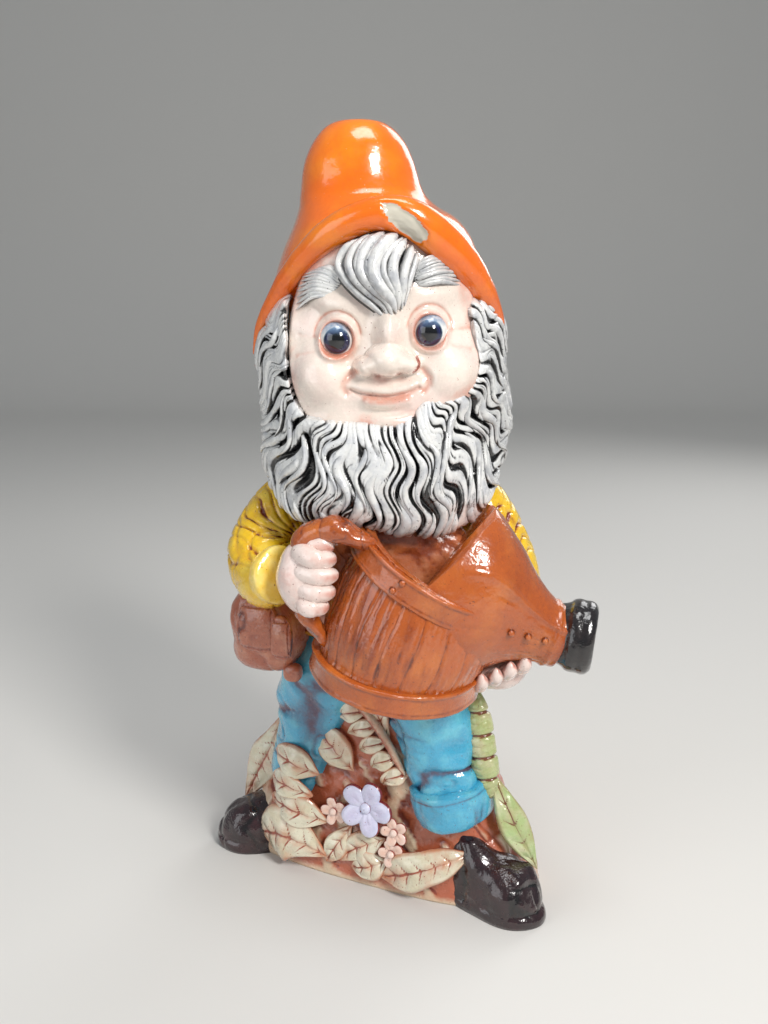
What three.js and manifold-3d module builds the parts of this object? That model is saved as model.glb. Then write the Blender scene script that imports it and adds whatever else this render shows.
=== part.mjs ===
// Garden gnome of slip-cast, painted and glazed earthenware. Millimetres, Z up, the face looks along -Y.
// The origin lies on the underside of the base, below the head.
// Each piece is modelled whole, then trimmed to a hairline seam where it meets the pieces placed before it.
import * as THREE from 'three';
import { mergeVertices } from 'three/addons/utils/BufferGeometryUtils.js';
import Module from 'manifold-3d';

// driving dimensions
const FIGURE_HEIGHT = 409;
const FOOT_SPAN = 196;
const SEAM = 0.3;
const BASE_WALL = 6;
const BASE_YAW = 25.5;
const VENT_RADIUS = 9;
const BOOT_LENGTH = 58;
const LEG_RADIUS = 20;
const BELLY_WIDTH = 100;
const SLEEVE_RADIUS = 19;
const HEAD_WIDTH = 96;
const EYE_RADIUS = 9.5;
const BEARD_WIDTH = 131;
const CROWN_RADIUS = 29;
const BRIM_RADIUS = 8;
const CAN_RADIUS = 41;
const CAN_WALL = 5;
const HOOP_WIDTH = 12;
const SPOUT_RADIUS = 15.5;
const ROSE_RADIUS = 17.8;
const RIVET_RADIUS = 2;
const LEAF_THICKNESS = 5;
const FINENESS = 0.74;

const wasm = await Module();
wasm.setup();

const { sin, cos, PI, abs, sqrt, max, min, sign } = Math;
const V = (x, y, z) => new THREE.Vector3(x, y, z);
const wide = FOOT_SPAN / 196;
const tall = FIGURE_HEIGHT / 409;
const power = (c, n) => sign(c) * abs(c) ** n;

// A closed body over a sphere's grid: shape(a, t) gives the point at angle a round it and share t from end to end.
function skin(fullAround, fullAlong, shape) {
  const around = max(6, Math.round(fullAround * FINENESS));
  const along = max(4, Math.round(fullAlong * FINENESS));
  const g = new THREE.SphereGeometry(1, around, along);
  const p = g.getAttribute('position');
  for (let i = 0; i < p.count; i++) {
    const t = Math.floor(i / (around + 1)) / along;
    const end = t < 1e-6 || t > 1 - 1e-6;
    const q = shape(end ? 0 : ((i % (around + 1)) / around) * 2 * PI, t);
    p.setXYZ(i, q.x, q.y, q.z);
  }
  return g;
}

// The same over a ring's grid: shape(a, b) with a along the ring and b round its section.
function ring(fullAlong, fullAround, shape) {
  const around = max(6, Math.round(fullAround * FINENESS));
  const along = max(8, Math.round(fullAlong * FINENESS));
  const g = new THREE.TorusGeometry(2, 1, around, along);
  const p = g.getAttribute('position');
  for (let i = 0; i < p.count; i++) {
    const a = ((i % (along + 1)) / along) * 2 * PI;
    const b = (Math.floor(i / (along + 1)) / around) * 2 * PI;
    const q = shape(a, b);
    p.setXYZ(i, q.x, q.y, q.z);
  }
  return g;
}

function ball(centre, rx, ry, rz, around = 10, along = 6, turn = 0) {
  return skin(around, along, (a, t) => {
    const r = sin(PI * t);
    const q = V(rx * r * cos(a), ry * r * sin(a), rz * cos(PI * t));
    return q.applyAxisAngle(V(0, 1, 0), turn).add(centre);
  });
}

// Linear reading of a short list at share s.
function along(list, s) {
  const f = max(0, min(1, s)) * (list.length - 1);
  const i = min(Math.floor(f), list.length - 2);
  return list[i] + (list[i + 1] - list[i]) * (f - i);
}

// A limb: a round-ended tube on a smooth path. Its section is wide across `face` and thick along it.
function limb(points, radii, opt = {}) {
  const { around = 12, rings = 8, thick = 1, face = V(0, -1, 0), blunt = 5 } = opt;
  const path = new THREE.CatmullRomCurve3(points);
  return skin(around, rings, (a, t) => {
    const s = 0.5 - 0.5 * cos(PI * t);
    const tangent = path.getTangentAt(s);
    const side = tangent.clone().cross(face).normalize();
    const out = side.clone().cross(tangent);
    const round = max(0, 1 - abs(2 * s - 1) ** blunt) ** 0.5;
    const r = along(radii, s) * round;
    const q = path.getPointAt(s);
    return q.addScaledVector(side, r * cos(a)).addScaledVector(out, r * thick * sin(a));
  });
}

// Scaled raw form as a solid, its skin moved outwards by `grow`.
function solid(geometry, grow = 0) {
  const loose = geometry.index ? geometry.toNonIndexed() : geometry.clone();
  loose.deleteAttribute('normal');
  loose.deleteAttribute('uv');
  loose.scale(wide, wide, tall);
  const g = mergeVertices(loose, 1e-3);
  const p = g.getAttribute('position');
  const kept = [];
  for (let i = 0; i < g.index.count; i += 3) {
    const [a, b, c] = [0, 1, 2].map((k) => g.index.getX(i + k));
    if (a !== b && b !== c && c !== a) kept.push(a, b, c);
  }
  g.setIndex(kept);
  const make = (verts, tris) =>
    new wasm.Manifold(new wasm.Mesh({ numProp: 3, vertProperties: verts, triVerts: new Uint32Array(tris) }));
  let flipped = false;
  if (make(p.array, kept).volume() < 0) {
    for (let i = 0; i < kept.length; i += 3) [kept[i + 1], kept[i + 2]] = [kept[i + 2], kept[i + 1]];
    g.setIndex(kept);
    flipped = true;
  }
  if (grow) {
    g.computeVertexNormals();
    const n = g.getAttribute('normal');
    for (let i = 0; i < p.count; i++) {
      p.setXYZ(i, p.getX(i) + n.getX(i) * grow, p.getY(i) + n.getY(i) * grow, p.getZ(i) + n.getZ(i) * grow);
    }
  }
  return make(p.array, kept);
}

const joined = (list, grow = 0) => list.map((g) => solid(g, grow)).reduce((a, b) => a.add(b));

const gnome = new THREE.Group();
gnome.name = 'garden_gnome';
const placed = [];

// Glazes: colour, roughness.
const GLAZE = {
  ground: ['#b5704f', 0.25],
  leaf: ['#c9c4a2', 0.2],
  fern: ['#a9bb7c', 0.2],
  lilac: ['#c3c4e0', 0.2],
  pink: ['#efc9b8', 0.2],
  boot: ['#2a1a20', 0.12],
  trouser: ['#3f9fc9', 0.15],
  jacket: ['#e8bb22', 0.18],
  skin: ['#eed6c8', 0.18],
  eye: ['#16294f', 0.08],
  hair: ['#e6e5e2', 0.2],
  hat: ['#e9590f', 0.1],
  satchel: ['#a9654a', 0.25],
  can: ['#a3512a', 0.15],
  rose: ['#121112', 0.1],
};

const largest = (whole) => whole.decompose().sort((a, b) => b.volume() - a.volume())[0];

// Trims the raw bodies against everything placed before, keeps the main body and adds it to the group.
function piece(name, glaze, bodies, opt = {}) {
  let whole = joined(bodies);
  const box = whole.boundingBox();
  for (const other of placed) {
    const apart = [0, 1, 2].some((k) => other.box.min[k] > box.max[k] || other.box.max[k] < box.min[k]);
    if (!apart) whole = whole.subtract(other.grown);
  }
  for (const cutter of opt.cut ?? []) whole = whole.subtract(cutter);
  const main = largest(largest(whole).simplify(0.12));
  const grown = joined(bodies, SEAM);
  placed.push({ grown, box: grown.boundingBox() });
  const mesh = main.getMesh();
  const g = new THREE.BufferGeometry();
  const xyz = new Float32Array((mesh.vertProperties.length / mesh.numProp) * 3);
  for (let i = 0; i < xyz.length / 3; i++) {
    xyz.set(mesh.vertProperties.subarray(i * mesh.numProp, i * mesh.numProp + 3), i * 3);
  }
  g.setAttribute('position', new THREE.BufferAttribute(xyz, 3));
  g.setIndex(new THREE.BufferAttribute(new Uint32Array(mesh.triVerts), 1));
  const [color, roughness] = GLAZE[glaze];
  const node = new THREE.Mesh(g, new THREE.MeshStandardMaterial({ color, roughness, metalness: 0 }));
  node.name = name;
  gnome.add(node);
}

// ---- the base: a low mound of ground and leaves, set slantwise under the figure ----
const BASE_CENTRE = V(-1, -4, 0);
const yaw = (BASE_YAW * PI) / 180;
// A point of the base frame: u along the line of the feet to his left, w backwards, z up.
const base = (u, w, z) => V(u * cos(yaw) + w * sin(yaw), -u * sin(yaw) + w * cos(yaw), z).add(BASE_CENTRE);
const MOUND_TOP = 122;
const moundHalf = (z) => along([90, 84, 73, 66, 59, 53, 48], z / MOUND_TOP);
const moundFront = (z) => along([-28, -24.5, -22, -20, -19, -18, -16], z / MOUND_TOP);
const moundBack = (z) => along([44, 42, 39, 35, 31, 27, 24], z / MOUND_TOP);
const moundSkin = (wall) => skin(wall ? 18 : 30, wall ? 9 : 13, (a, t) => {
  const inset = wall / wide;
  const floor = wall / tall;
  const shell = t < 0.15 ? t / 0.15 : t > 0.88 ? (1 - t) / 0.12 : 1;
  const climb = max(0, min(1, (t - 0.15) / 0.73));
  const z = floor + (MOUND_TOP - 2 * floor) * (1 - climb);
  const hw = moundHalf(z) - inset;
  const w0 = moundFront(z) + inset;
  const w1 = moundBack(z) - inset;
  const depth = (w1 - w0) / 2;
  const lump = inset ? 0 : 1.2 * sin(5 * a + z * 0.07) + 0.8 * sin(9 * a - z * 0.11);
  const flare = climb > 0.98 ? 0 : lump;
  return base(
    shell * (hw + flare) * power(cos(a), 0.75),
    (w0 + w1) / 2 + shell * (depth + flare * 0.6) * power(sin(a), 0.62),
    z,
  );
});
const hollow = joined([
  moundSkin(BASE_WALL),
  ball(V(-2, 0, 120), 30, 19, 30),
  ball(V(-3, 6, 178), 38, 25, 56),
  ball(V(0, 3, 298), 36, 33, 48),
  ball(V(-3, 8, 236), 17, 14, 28),
  ball(V(-10, 12, 366), 19, 19, 30),
]);
const vent = new THREE.CylinderGeometry(VENT_RADIUS / wide, VENT_RADIUS / wide, 30, 20)
  .rotateX(PI / 2).translate(base(-22, 14, 0).x, base(-22, 14, 0).y, 2);
piece('base_mound', 'ground', [moundSkin(0)], { cut: [hollow, solid(vent)] });

// ---- boots: they turn outwards and stand on the floor beyond the ends of the base ----
function boot(ankle, heading, long) {
  const dir = V(cos(heading), sin(heading), 0);
  const side = V(-dir.y, dir.x, 0);
  return skin(16, 11, (a, t) => {
    const s = 0.5 - 0.5 * cos(PI * t);
    const round = max(0, 1 - abs(2 * s - 1) ** 4) ** 0.5;
    const half = along([11, 14, 15.5, 16.5, 17.5, 17, 14], s) * round;
    const top = along([30, 44, 38, 31, 28, 26, 22], s);
    const lift = sin(a) > 0 ? power(sin(a), 0.85) * top * round : 0;
    const reach = -14 + (long + 14) * s;
    return ankle.clone().addScaledVector(dir, reach).addScaledVector(side, half * power(cos(a), 0.7))
      .setZ(lift);
  });
}
piece('boot_left', 'boot', [boot(V(44, -35, 0), -0.66, BOOT_LENGTH - 8)]);
piece('boot_right', 'boot', [boot(V(-50, 21, 0), -3.02, BOOT_LENGTH - 8)]);

// ---- trouser legs with their turn-ups, joined in one seat under the jacket ----
const turnup = (centre, lean, r, high) => ring(20, 8, (a, b) => {
  const rr = r + 3.5 * cos(b) - 2;
  const q = V(rr * cos(a), rr * sin(a), (high / 2) * power(sin(b), 0.6));
  return q.applyAxisAngle(V(0, 1, 0), -lean).applyAxisAngle(V(1, 0, 0), 0.22).add(centre);
});
piece('trouser_cuff_left', 'trouser', [turnup(V(37, -34, 56), -0.26, LEG_RADIUS + 1, 23)]);
piece('trouser_cuff_right', 'trouser', [turnup(V(-46, 10, 57), 0.2, LEG_RADIUS, 21)]);

// ---- head, with the eyeballs let in and the features raised on it ----
const HEAD = V(0, -2, 300);
const half = HEAD_WIDTH / 2;
piece('eye_right', 'eye', [ball(V(-23, -46, 305), EYE_RADIUS, EYE_RADIUS, EYE_RADIUS, 12, 8)]);
piece('eye_left', 'eye', [ball(V(23, -46, 307.5), EYE_RADIUS, EYE_RADIUS, EYE_RADIUS, 12, 8)]);
piece('head', 'skin', [
  skin(24, 15, (a, t) => {
    const r = sin(PI * t) ** 0.85;
    return V(half * r * power(cos(a), 0.8), 50 * r * power(sin(a), 0.8), 60 * cos(PI * t)).add(HEAD);
  }),
  ball(V(1, -53, 292.5), 14.5, 11, 9, 12, 8),
  ball(V(1.5, -61, 294), 8, 11, 8, 10, 6),
  ball(V(-29, -37, 286), 17, 17, 14),
  ball(V(30, -37, 288), 17, 17, 14),
  ball(V(1.5, -48, 276), 18, 12, 7.5),
  ball(V(2, -46, 266), 15, 14, 9),
], { cut: [hollow] });
piece('forelock', 'hair', [
  limb([V(-16, -40, 352), V(-8, -51, 345), V(2, -55, 336), V(4, -57, 326), V(0, -59, 318), V(5, -60, 314)],
    [12, 19, 15, 10, 6, 2.5], { thick: 0.36, around: 12, rings: 10 }),
]);
const brow = (points) => limb(points, [2, 4, 5, 4.5, 2], { thick: 0.8, around: 8, rings: 8 });
piece('eyebrow_right', 'hair', [brow([V(-40, -32, 316), V(-33, -38.5, 326), V(-22, -45.5, 329), V(-15, -49, 325)])]);
piece('eyebrow_left', 'hair', [brow([V(41, -33, 324), V(34, -39, 331), V(24, -45.5, 331), V(17, -50, 327)])]);

// ---- beard: a deep ruff round the cheeks and chin that ends in pointed locks ----
const beardHalf = BEARD_WIDTH / 2;
const faceHole = new THREE.CylinderGeometry(1, 1, 120, 28).scale(42, 1, 44).translate(1, -92, 306);
piece('beard', 'hair', [
  skin(36, 14, (a, t) => {
    const r = sin(PI * t) ** 0.85;
    const lock = 1 + 0.03 * sin(9 * a) * r ** 6;
    const x = beardHalf * r * cos(a) * lock;
    const z = 263 + (sin(a) < 0 ? 60 : 50) * r * sin(a) * lock;
    const c = cos(PI * t);
    return V(x + (sin(a) < 0 ? -9 * sin(a) * r : 0), -22 + (c > 0 ? -45 : 34) * abs(c) ** 0.8, z);
  }),
], { cut: [solid(faceHole), hollow] });

// ---- hat: a tall crown on a hood that comes down over the ears, with a thick rolled brim ----
const HEM_FRONT = 354;
const hem = (a) => 292 + (HEM_FRONT - 292) * max(0, cos(a)) - 6 * max(0, -cos(a));
piece('hat_brim', 'hat', [
  limb([V(-66, -6, 293), V(-57, -22, 318), V(-38, -39, 340), V(-18, -47, 351), V(2, -50, 356),
    V(22, -45, 349), V(40, -36, 337), V(54, -20, 323), V(61, -6, 306)],
  [3, 5.5, 7, 8, 8.5, 8, 7, 5.5, 3].map((r) => (r * BRIM_RADIUS) / 8), { around: 10, rings: 20, face: V(0, -1, 0.2) }),
]);
piece('hat', 'hat', [
  skin(32, 16, (a, t) => {
    const top = 409;
    const flare = (z) => CROWN_RADIUS + (68 - CROWN_RADIUS) * (max(0, 371 - z) / 79) ** 0.55;
    let z = 371;
    let r = CROWN_RADIUS;
    if (t <= 0.4) {
      const s = t / 0.4;
      const fall = max(0, (s - 0.25) / 0.75);
      z = top - (top - 371) * fall;
      r = s <= 0.25 ? 52 * s : 13 + (CROWN_RADIUS - 13) * (1 - (1 - fall) ** 2.8);
    } else if (t <= 0.85) {
      z = 371 + (hem(a) - 371) * ((t - 0.4) / 0.45) ** 1.2;
      r = flare(z);
    } else {
      const s = (1 - t) / 0.15;
      z = 300 + (hem(a) - 300) * s;
      r = flare(hem(a)) * s;
    }
    const up = max(0, min(1, (z - 358) / 13));
    const deep = 0.9 + 0.28 * max(0, cos(a)) * (1 - up);
    return V(-1.5 - 11 * up + r * sin(a), 4 + 5 * up - r * deep * cos(a), z + 0.1 * r * sin(a) * (1 - up));
  }),
], { cut: [hollow] });

// ---- back hair: it falls from under the hat to the shoulders ----
piece('back_hair', 'hair', [
  skin(24, 10, (a, t) => {
    const r = sin(PI * t) ** 0.7 * (1 + 0.12 * cos(PI * t));
    const curl = 1 + 0.03 * sin(9 * a) * r ** 4;
    return V(53 * r * cos(a) * curl, 20 + 37 * r * sin(a) * curl, 259 + 46 * cos(PI * t));
  }),
], { cut: [hollow] });

// ---- watering can, carried on the belly: a staved tub with two hoops, a half hood that runs into the spout ----
// The tub's rings tip over to his left from bottom to top.
const canCentre = (s) => V(8.5 + 15.5 * s, -50, 146 + 42 * s);
const canTurn = (s) => 0.2 + 0.3 * s;
const canRing = (s, r, a, lift = 0) => V(r * cos(a), r * 0.95 * sin(a), lift)
  .applyAxisAngle(V(1, 0, 0), 0.14).applyAxisAngle(V(0, 1, 0), canTurn(s)).add(canCentre(s));
const canRadius = (s) => CAN_RADIUS * (1 + 0.07 * sin(PI * max(0, min(1, s))) - 0.02 * s);
const canSkin = (inset, bottom, top) => skin(24, 8, (a, t) => {
  const shell = min(1, t * 6, (1 - t) * 6);
  const s = top + (bottom - top) * max(0, min(1, (t - 0.125) / 0.75));
  return canRing(s, shell * (canRadius(s) - inset), a);
});
const hoop = (s, proud) => ring(28, 8, (a, b) => {
  const r = canRadius(s) - 1 + (proud + 1) * max(-1, min(1, 1.6 * cos(b)));
  return canRing(s, r, a, (HOOP_WIDTH / 2) * max(-1, min(1, 1.6 * sin(b))));
});
piece('can_lower_hoop', 'can', [hoop(-0.15, 2)]);
piece('can_upper_hoop', 'can', [hoop(1.0, 2.4)]);
const hoopSpot = (s, angle, out, lift) => canRing(s, canRadius(s) + out, (angle * PI) / 180, lift);
for (const [i, lift] of [2.6, -2.6].entries()) {
  const at = hoopSpot(1.0, -112 - i * 3, 1.6, lift);
  piece(`hoop_rivet_${i + 1}`, 'can', [ball(at, RIVET_RADIUS, 2.4, RIVET_RADIUS, 8, 6)]);
}
piece('can_body', 'can', [canSkin(0, -0.28, 1.14)], { cut: [solid(canSkin(CAN_WALL / wide, -0.12, 1.6))] });
piece('can_handle', 'can', [
  limb([V(-4, -66, 206), V(-20, -66, 214), V(-35, -62, 212), V(-42, -60, 198), V(-42, -59, 182),
    V(-36, -60, 166), V(-26, -60, 154)], [5, 6, 6, 5, 5, 5, 4.5], { around: 10, rings: 14, thick: 1.3 }),
]);
// spout: sections run from the hood down to the rose
const spoutPath = new THREE.CatmullRomCurve3([V(26, -50, 181), V(46, -52, 179), V(57, -54.5, 174.5),
  V(68, -57, 168), V(82, -60, 160.5), V(88, -61, 158.5)]);
const k = SPOUT_RADIUS / 15.5;
// The hood's root is as wide as the tub it grows from.
const c = CAN_RADIUS / 41;
const spoutSkin = (inset, reach) => skin(20, 11, (a, t) => {
  const s = 0.02 + (reach - 0.02) * max(0, min(1, (t - 0.12) / 0.76));
  const shell = t < 0.12 ? t / 0.12 : t > 0.88 ? (1 - t) / 0.12 : 1;
  const tall2 = along([46 * c, 46 * c, 45 * c, 39 * sqrt(c), 32, 25, 20, 17 * k, 16 * k], s) - inset;
  const deep = along([38 * c, 37 * c, 35 * c, 31 * c, 26 * sqrt(c), 22, 19, 16.5 * k, 15.5 * k], s) - inset;
  const lean = along([0.1, 0.12, 0.2, 0.26, 0.3, 0.3], s);
  const out = V(sin(lean), 0, cos(lean));
  return spoutPath.getPointAt(s).addScaledVector(out, shell * tall2 * sin(a))
    .add(V(0, -shell * deep * cos(a), 0));
});
// the hood's rim: everything up and to his right of this slope is open
const mouth = solid(new THREE.BoxGeometry(140, 160, 160).translate(-70, 0, 30).rotateY(0.86).translate(24, -50, 196));
for (let i = 0; i < 3; i++) {
  piece(`spout_rivet_${i + 1}`, 'can', [
    ball(V(60.5 + 8.4 * i, -78.5 + 1.3 * i, 167 - 2.6 * i), RIVET_RADIUS, 3, RIVET_RADIUS, 8, 6),
  ]);
}
piece('can_rose', 'rose', [
  skin(20, 10, (a, t) => {
    const s = max(0, min(1, (t - 0.1) / 0.8));
    const shell = t < 0.1 ? t / 0.1 : t > 0.9 ? (1 - t) / 0.1 : 1;
    const r = along([0.8, 0.84, 0.9, 1, 1, 0.97, 0.84], s) * ROSE_RADIUS * shell;
    return V(24 * s - 12 + 2 * (1 - shell) * (s > 0.5 ? 1 : 0), r * cos(a), r * sin(a))
      .applyAxisAngle(V(0, 0, 1), -0.22).applyAxisAngle(V(0, 1, 0), 0.12).add(V(92, -61.5, 159.5));
  }),
]);
piece('can_spout', 'can', [spoutSkin(0, 1)], { cut: [solid(spoutSkin(CAN_WALL / wide, 0.86)), mouth] });

// ---- hands ----
const fist = [ball(V(-39, -60, 189), 13.5, 14, 19, 14, 10)];
for (let i = 0; i < 4; i++) {
  const z = 202 - 9 * i;
  fist.push(limb([V(-40, -71, z + 0.5), V(-30, -74, z), V(-25 - 0.48 * i * i, -66, z - 2)], [4.6, 5, 4.4],
    { around: 8, rings: 5 }));
}
piece('hand_right', 'skin', fist);
// The palm moves outwards with a wider can, so that it still meets the spout's root.
const palm = [ball(V(57.5 + 0.6 * (CAN_RADIUS - 41), -46.5, 136.5), 17, 14, 10, 14, 8, 0.35)];
for (let i = 0; i < 3; i++) {
  const x = 50 + 7 * i;
  palm.push(limb([V(x, -50, 131 + 3 * i), V(x + 2, -62, 134 + 3 * i), V(x + 1, -68, 141 + 2.5 * i)], [4.2, 4.4, 3.4],
    { around: 8, rings: 5, face: V(0, 0, 1) }));
}
piece('hand_left', 'skin', palm);

// ---- jacket: sleeves with their cuffs, then the body they are luted to ----
piece('sleeve_cuff_right', 'jacket', [
  limb([V(-56, -42, 184), V(-50.5, -49, 186.5)], [16, 17], { around: 14, rings: 6, blunt: 9, face: V(0, 0, 1) }),
]);
piece('sleeve_cuff_left', 'jacket', [
  limb([V(65, -30, 144), V(61, -38, 139)], [14.5, 15], { around: 14, rings: 6, blunt: 9, face: V(0, 0, 1) }),
]);
const sleeveRadii = [0.95, 1.02, 1.06, 1, 0.88].map((r) => r * SLEEVE_RADIUS);
piece('sleeve_right', 'jacket', [
  limb([V(-40, 4, 222), V(-54, 0, 207), V(-64, -8, 188), V(-61, -26, 181), V(-52, -44, 185)], sleeveRadii,
    { around: 14, rings: 11, face: V(0, 0, 1) }),
]);
piece('sleeve_left', 'jacket', [
  limb([V(38, 4, 222), V(53, 0, 206), V(63, -4, 180), V(66, -16, 156), V(63, -34, 142)], sleeveRadii,
    { around: 14, rings: 11, face: V(1, 0, 0) }),
]);
piece('jacket_body', 'jacket', [
  skin(22, 11, (a, t) => {
    const z = 252 - 122 * t;
    const share = (252 - z) / 122;
    const end = min(1, t / 0.12, (1 - t) / 0.1);
    const hw = along([22, 32, 41, 45, 47, 49, 50, 50, 49], share) * (BELLY_WIDTH / 100) * end;
    const dp = along([18, 26, 31, 33, 35, 37, 38, 38, 37], share) * end;
    return V(-2 + hw * power(cos(a), 0.9), 5 + dp * power(sin(a), 0.9), z);
  }),
], { cut: [hollow] });

// ---- satchel on his right hip ----
const bag = (x, y, z, hx, hy, hz, e = 0.45) => skin(12, 8, (a, t) => {
  const r = power(sin(PI * t), e);
  return V(hx * r * power(cos(a), e), hy * r * power(sin(a), e), hz * power(cos(PI * t), e))
    .applyAxisAngle(V(0, 0, 1), -0.35).add(V(x, y, z));
});
piece('satchel_flap', 'satchel', [bag(-68, -28, 149, 9.5, 3, 13)]);
piece('satchel_pocket', 'satchel', [bag(-53, -33, 149, 6.5, 3, 11)]);
piece('satchel_tongue', 'satchel', [bag(-49, -25, 125, 5, 4, 5, 0.7)]);
piece('satchel_body', 'satchel', [bag(-62, -10, 147, 19.5, 19, 24, 0.55)]);

// ---- trousers ----
const leg = (m) => limb([base(m * 0.7 * LEG_RADIUS, -2, 146), base(m * 1.12 * LEG_RADIUS, -6, 128),
  base(m * 31, -10.5, 110), base(m * 40, -9.3, 78), base(m * 48, -7.5, 50), base(m * 53, -7, 34)],
[26, 27, 22.5, 20.5, 19, 16].map((r) => (r * LEG_RADIUS) / 20), { around: 14, rings: 12, blunt: 7 });
piece('trouser_leg_left', 'trouser', [leg(1)], { cut: [hollow] });
piece('trouser_leg_right', 'trouser', [leg(-1)], { cut: [hollow] });
piece('satchel_strap', 'satchel', [
  limb([V(-57, 8, 168), V(-50, 26, 180), V(-34, 39, 194), V(-12, 42, 208), V(12, 36, 222), V(28, 24, 234)],
    [6, 6, 6, 6, 6, 6], { around: 6, rings: 12, thick: 0.6, face: V(-0.3, 1, 0.2) }),
]);

// ---- foliage in relief on the front and ends of the mound ----
// A spot on the mound's front: u along the feet, z up, raised by `out`.
const spot = (u, z, out = 1.5) => base(u, moundFront(z) * max(0.1, 1 - (abs(u) / (moundHalf(z) + 6)) ** 5) - out, z);
const leaf = (list, width, rings = 7) => limb(list.map(([u, z, out]) => spot(u, z, out)), width,
  { around: 8, rings, thick: LEAF_THICKNESS / 14, face: V(-0.43, -0.9, 0.1), blunt: 1.6 });
const fern = [limb([spot(-14, 108, 3), spot(6, 93, 3.4), spot(21, 73, 3)], [2, 2.6, 2], { around: 6, rings: 6 })];
for (let i = 0; i < 6; i++) {
  const u = -13 + 6.2 * i;
  const z = 104 - 8 * i + 0.35 * i * i;
  fern.push(limb([spot(u - 11 + i * 0.6, z - 0.5 * i, 2), spot(u - 4, z + 1.5, 3), spot(u + 3.5, z + 2, 2)],
    [3.6, 6.4, 4.6], { around: 6, rings: 4, thick: 0.6, blunt: 2.4 }));
}
piece('fern_front', 'leaf', fern);
// The leaves in front of the legs and the fern beside them keep touching a thinner or thicker leg.
const legLess = LEG_RADIUS - 20;
const onLeg = (list) => list.map(([u, z, out]) => [u, z, out + legLess]);
piece('leaf_tall_right', 'leaf', [leaf([[-94, 20, 2], [-78, 44, 3], [-66, 62, 3], [-56, 84, 2]], [3, 12, 14, 10, 2])]);
piece('leaf_narrow', 'leaf', [leaf([[6, 108, 1.5], [9, 98, 3], [14, 87, 1.5]].map(([u, z, out]) => [u - legLess, z, out]),
  [2, 5.5, 4.5, 2])]);
piece('leaf_lens', 'leaf', [leaf([[-33, 88, 2], [-20, 78, 3.5], [-7, 64, 2]], [2, 9, 10, 8, 2])]);
piece('leaf_small_upper', 'leaf', [leaf(onLeg([[-47, 66, 8], [-37, 64, 10], [-25, 62, 7]]), [2, 7, 7, 2])]);
piece('leaf_small_lower', 'leaf', [leaf(onLeg([[-50, 52, 8], [-40, 53, 10.5], [-29, 55, 8]]), [3, 5.5, 5.5, 2])]);
piece('leaf_side', 'leaf', [leaf([[-53, 39, 6], [-37, 43, 9], [-21, 44, 4]], [3, 9.5, 10, 2])]);
piece('flower_large', 'lilac', [0, 1, 2, 3, 4].map((i) => {
  const a = 0.35 + (i * 2 * PI) / 5;
  return ball(spot(3.5 + 7.2 * sin(a), 48 + 7.2 * cos(a), 4), 6.4, 4, 6.4, 8, 6);
}).concat([ball(spot(3.5, 48, 5), 4.5, 4.5, 4.5, 8, 6)]));
const blossom = (name, u, z, s, count) => piece(name, 'pink', [...Array(count).keys()].map((i) => {
  const a = 0.9 + (i * 2 * PI) / count;
  return ball(spot(u + s * sin(a), z + s * cos(a), 3.5), 3.6, 3, 3.8, 6, 4);
}).concat([ball(spot(u, z, 4.6), 2.4, 2.6, 2.4, 6, 4)]));
blossom('blossom_side', -17, 40.5, 4.6, 5);
blossom('blossom_upper', 20.5, 37, 4.4, 5);
blossom('blossom_lower', 19.5, 24.5, 4.2, 5);
piece('leaf_broad_front', 'leaf', [leaf([[-66, 15, 2], [-45, 20, 4.5], [-23, 14, 2]], [4, 12, 13, 10, 3])]);
piece('leaf_fold_front', 'leaf', [leaf([[-21, 9, 0.4], [-14, 20, 1.6], [-7, 32, 1]], [3, 6.5, 6.5, 2])]);
piece('leaf_middle_front', 'leaf', [leaf([[-14, 11, 0.4], [-2, 22, 1.6], [13, 29, 1]], [3, 7.5, 8, 2])]);
piece('leaf_low_front', 'leaf', [leaf([[-3, 9, 0.4], [6, 13, 1.6], [16, 17, 1]], [4, 7, 7.5, 3])]);
piece('leaf_long_front', 'leaf', [leaf([[15, 9, 2], [38, 20, 5], [62, 31, 2]], [3, 10, 11, 9, 3])]);
piece('fern_left', 'fern', [
  limb([base(57 + legLess, -5, 118), base(62 + legLess, -7, 92), base(68.5 + legLess, -9, 62)],
    [5, 7.5, 5, 7.5, 5, 7.5, 5, 7.5, 5, 7.5, 5], { around: 8, rings: 20, thick: 0.8, face: V(-0.43, -0.9, 0) }),
]);
piece('leaf_left', 'fern', [
  limb([base(71 + legLess, -9, 68), base(84, -7, 46), base(97, -2, 22)], [3, 9, 10, 7, 2],
    { around: 8, rings: 8, thick: 0.4, face: V(0.2, -1, 0.3), blunt: 1.8 }),
]);

export default gnome;
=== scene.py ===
# Garden gnome: one slip-cast earthenware figure, painted under clear gloss glazes, on its own mound of leaves.
from math import pi, radians

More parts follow.
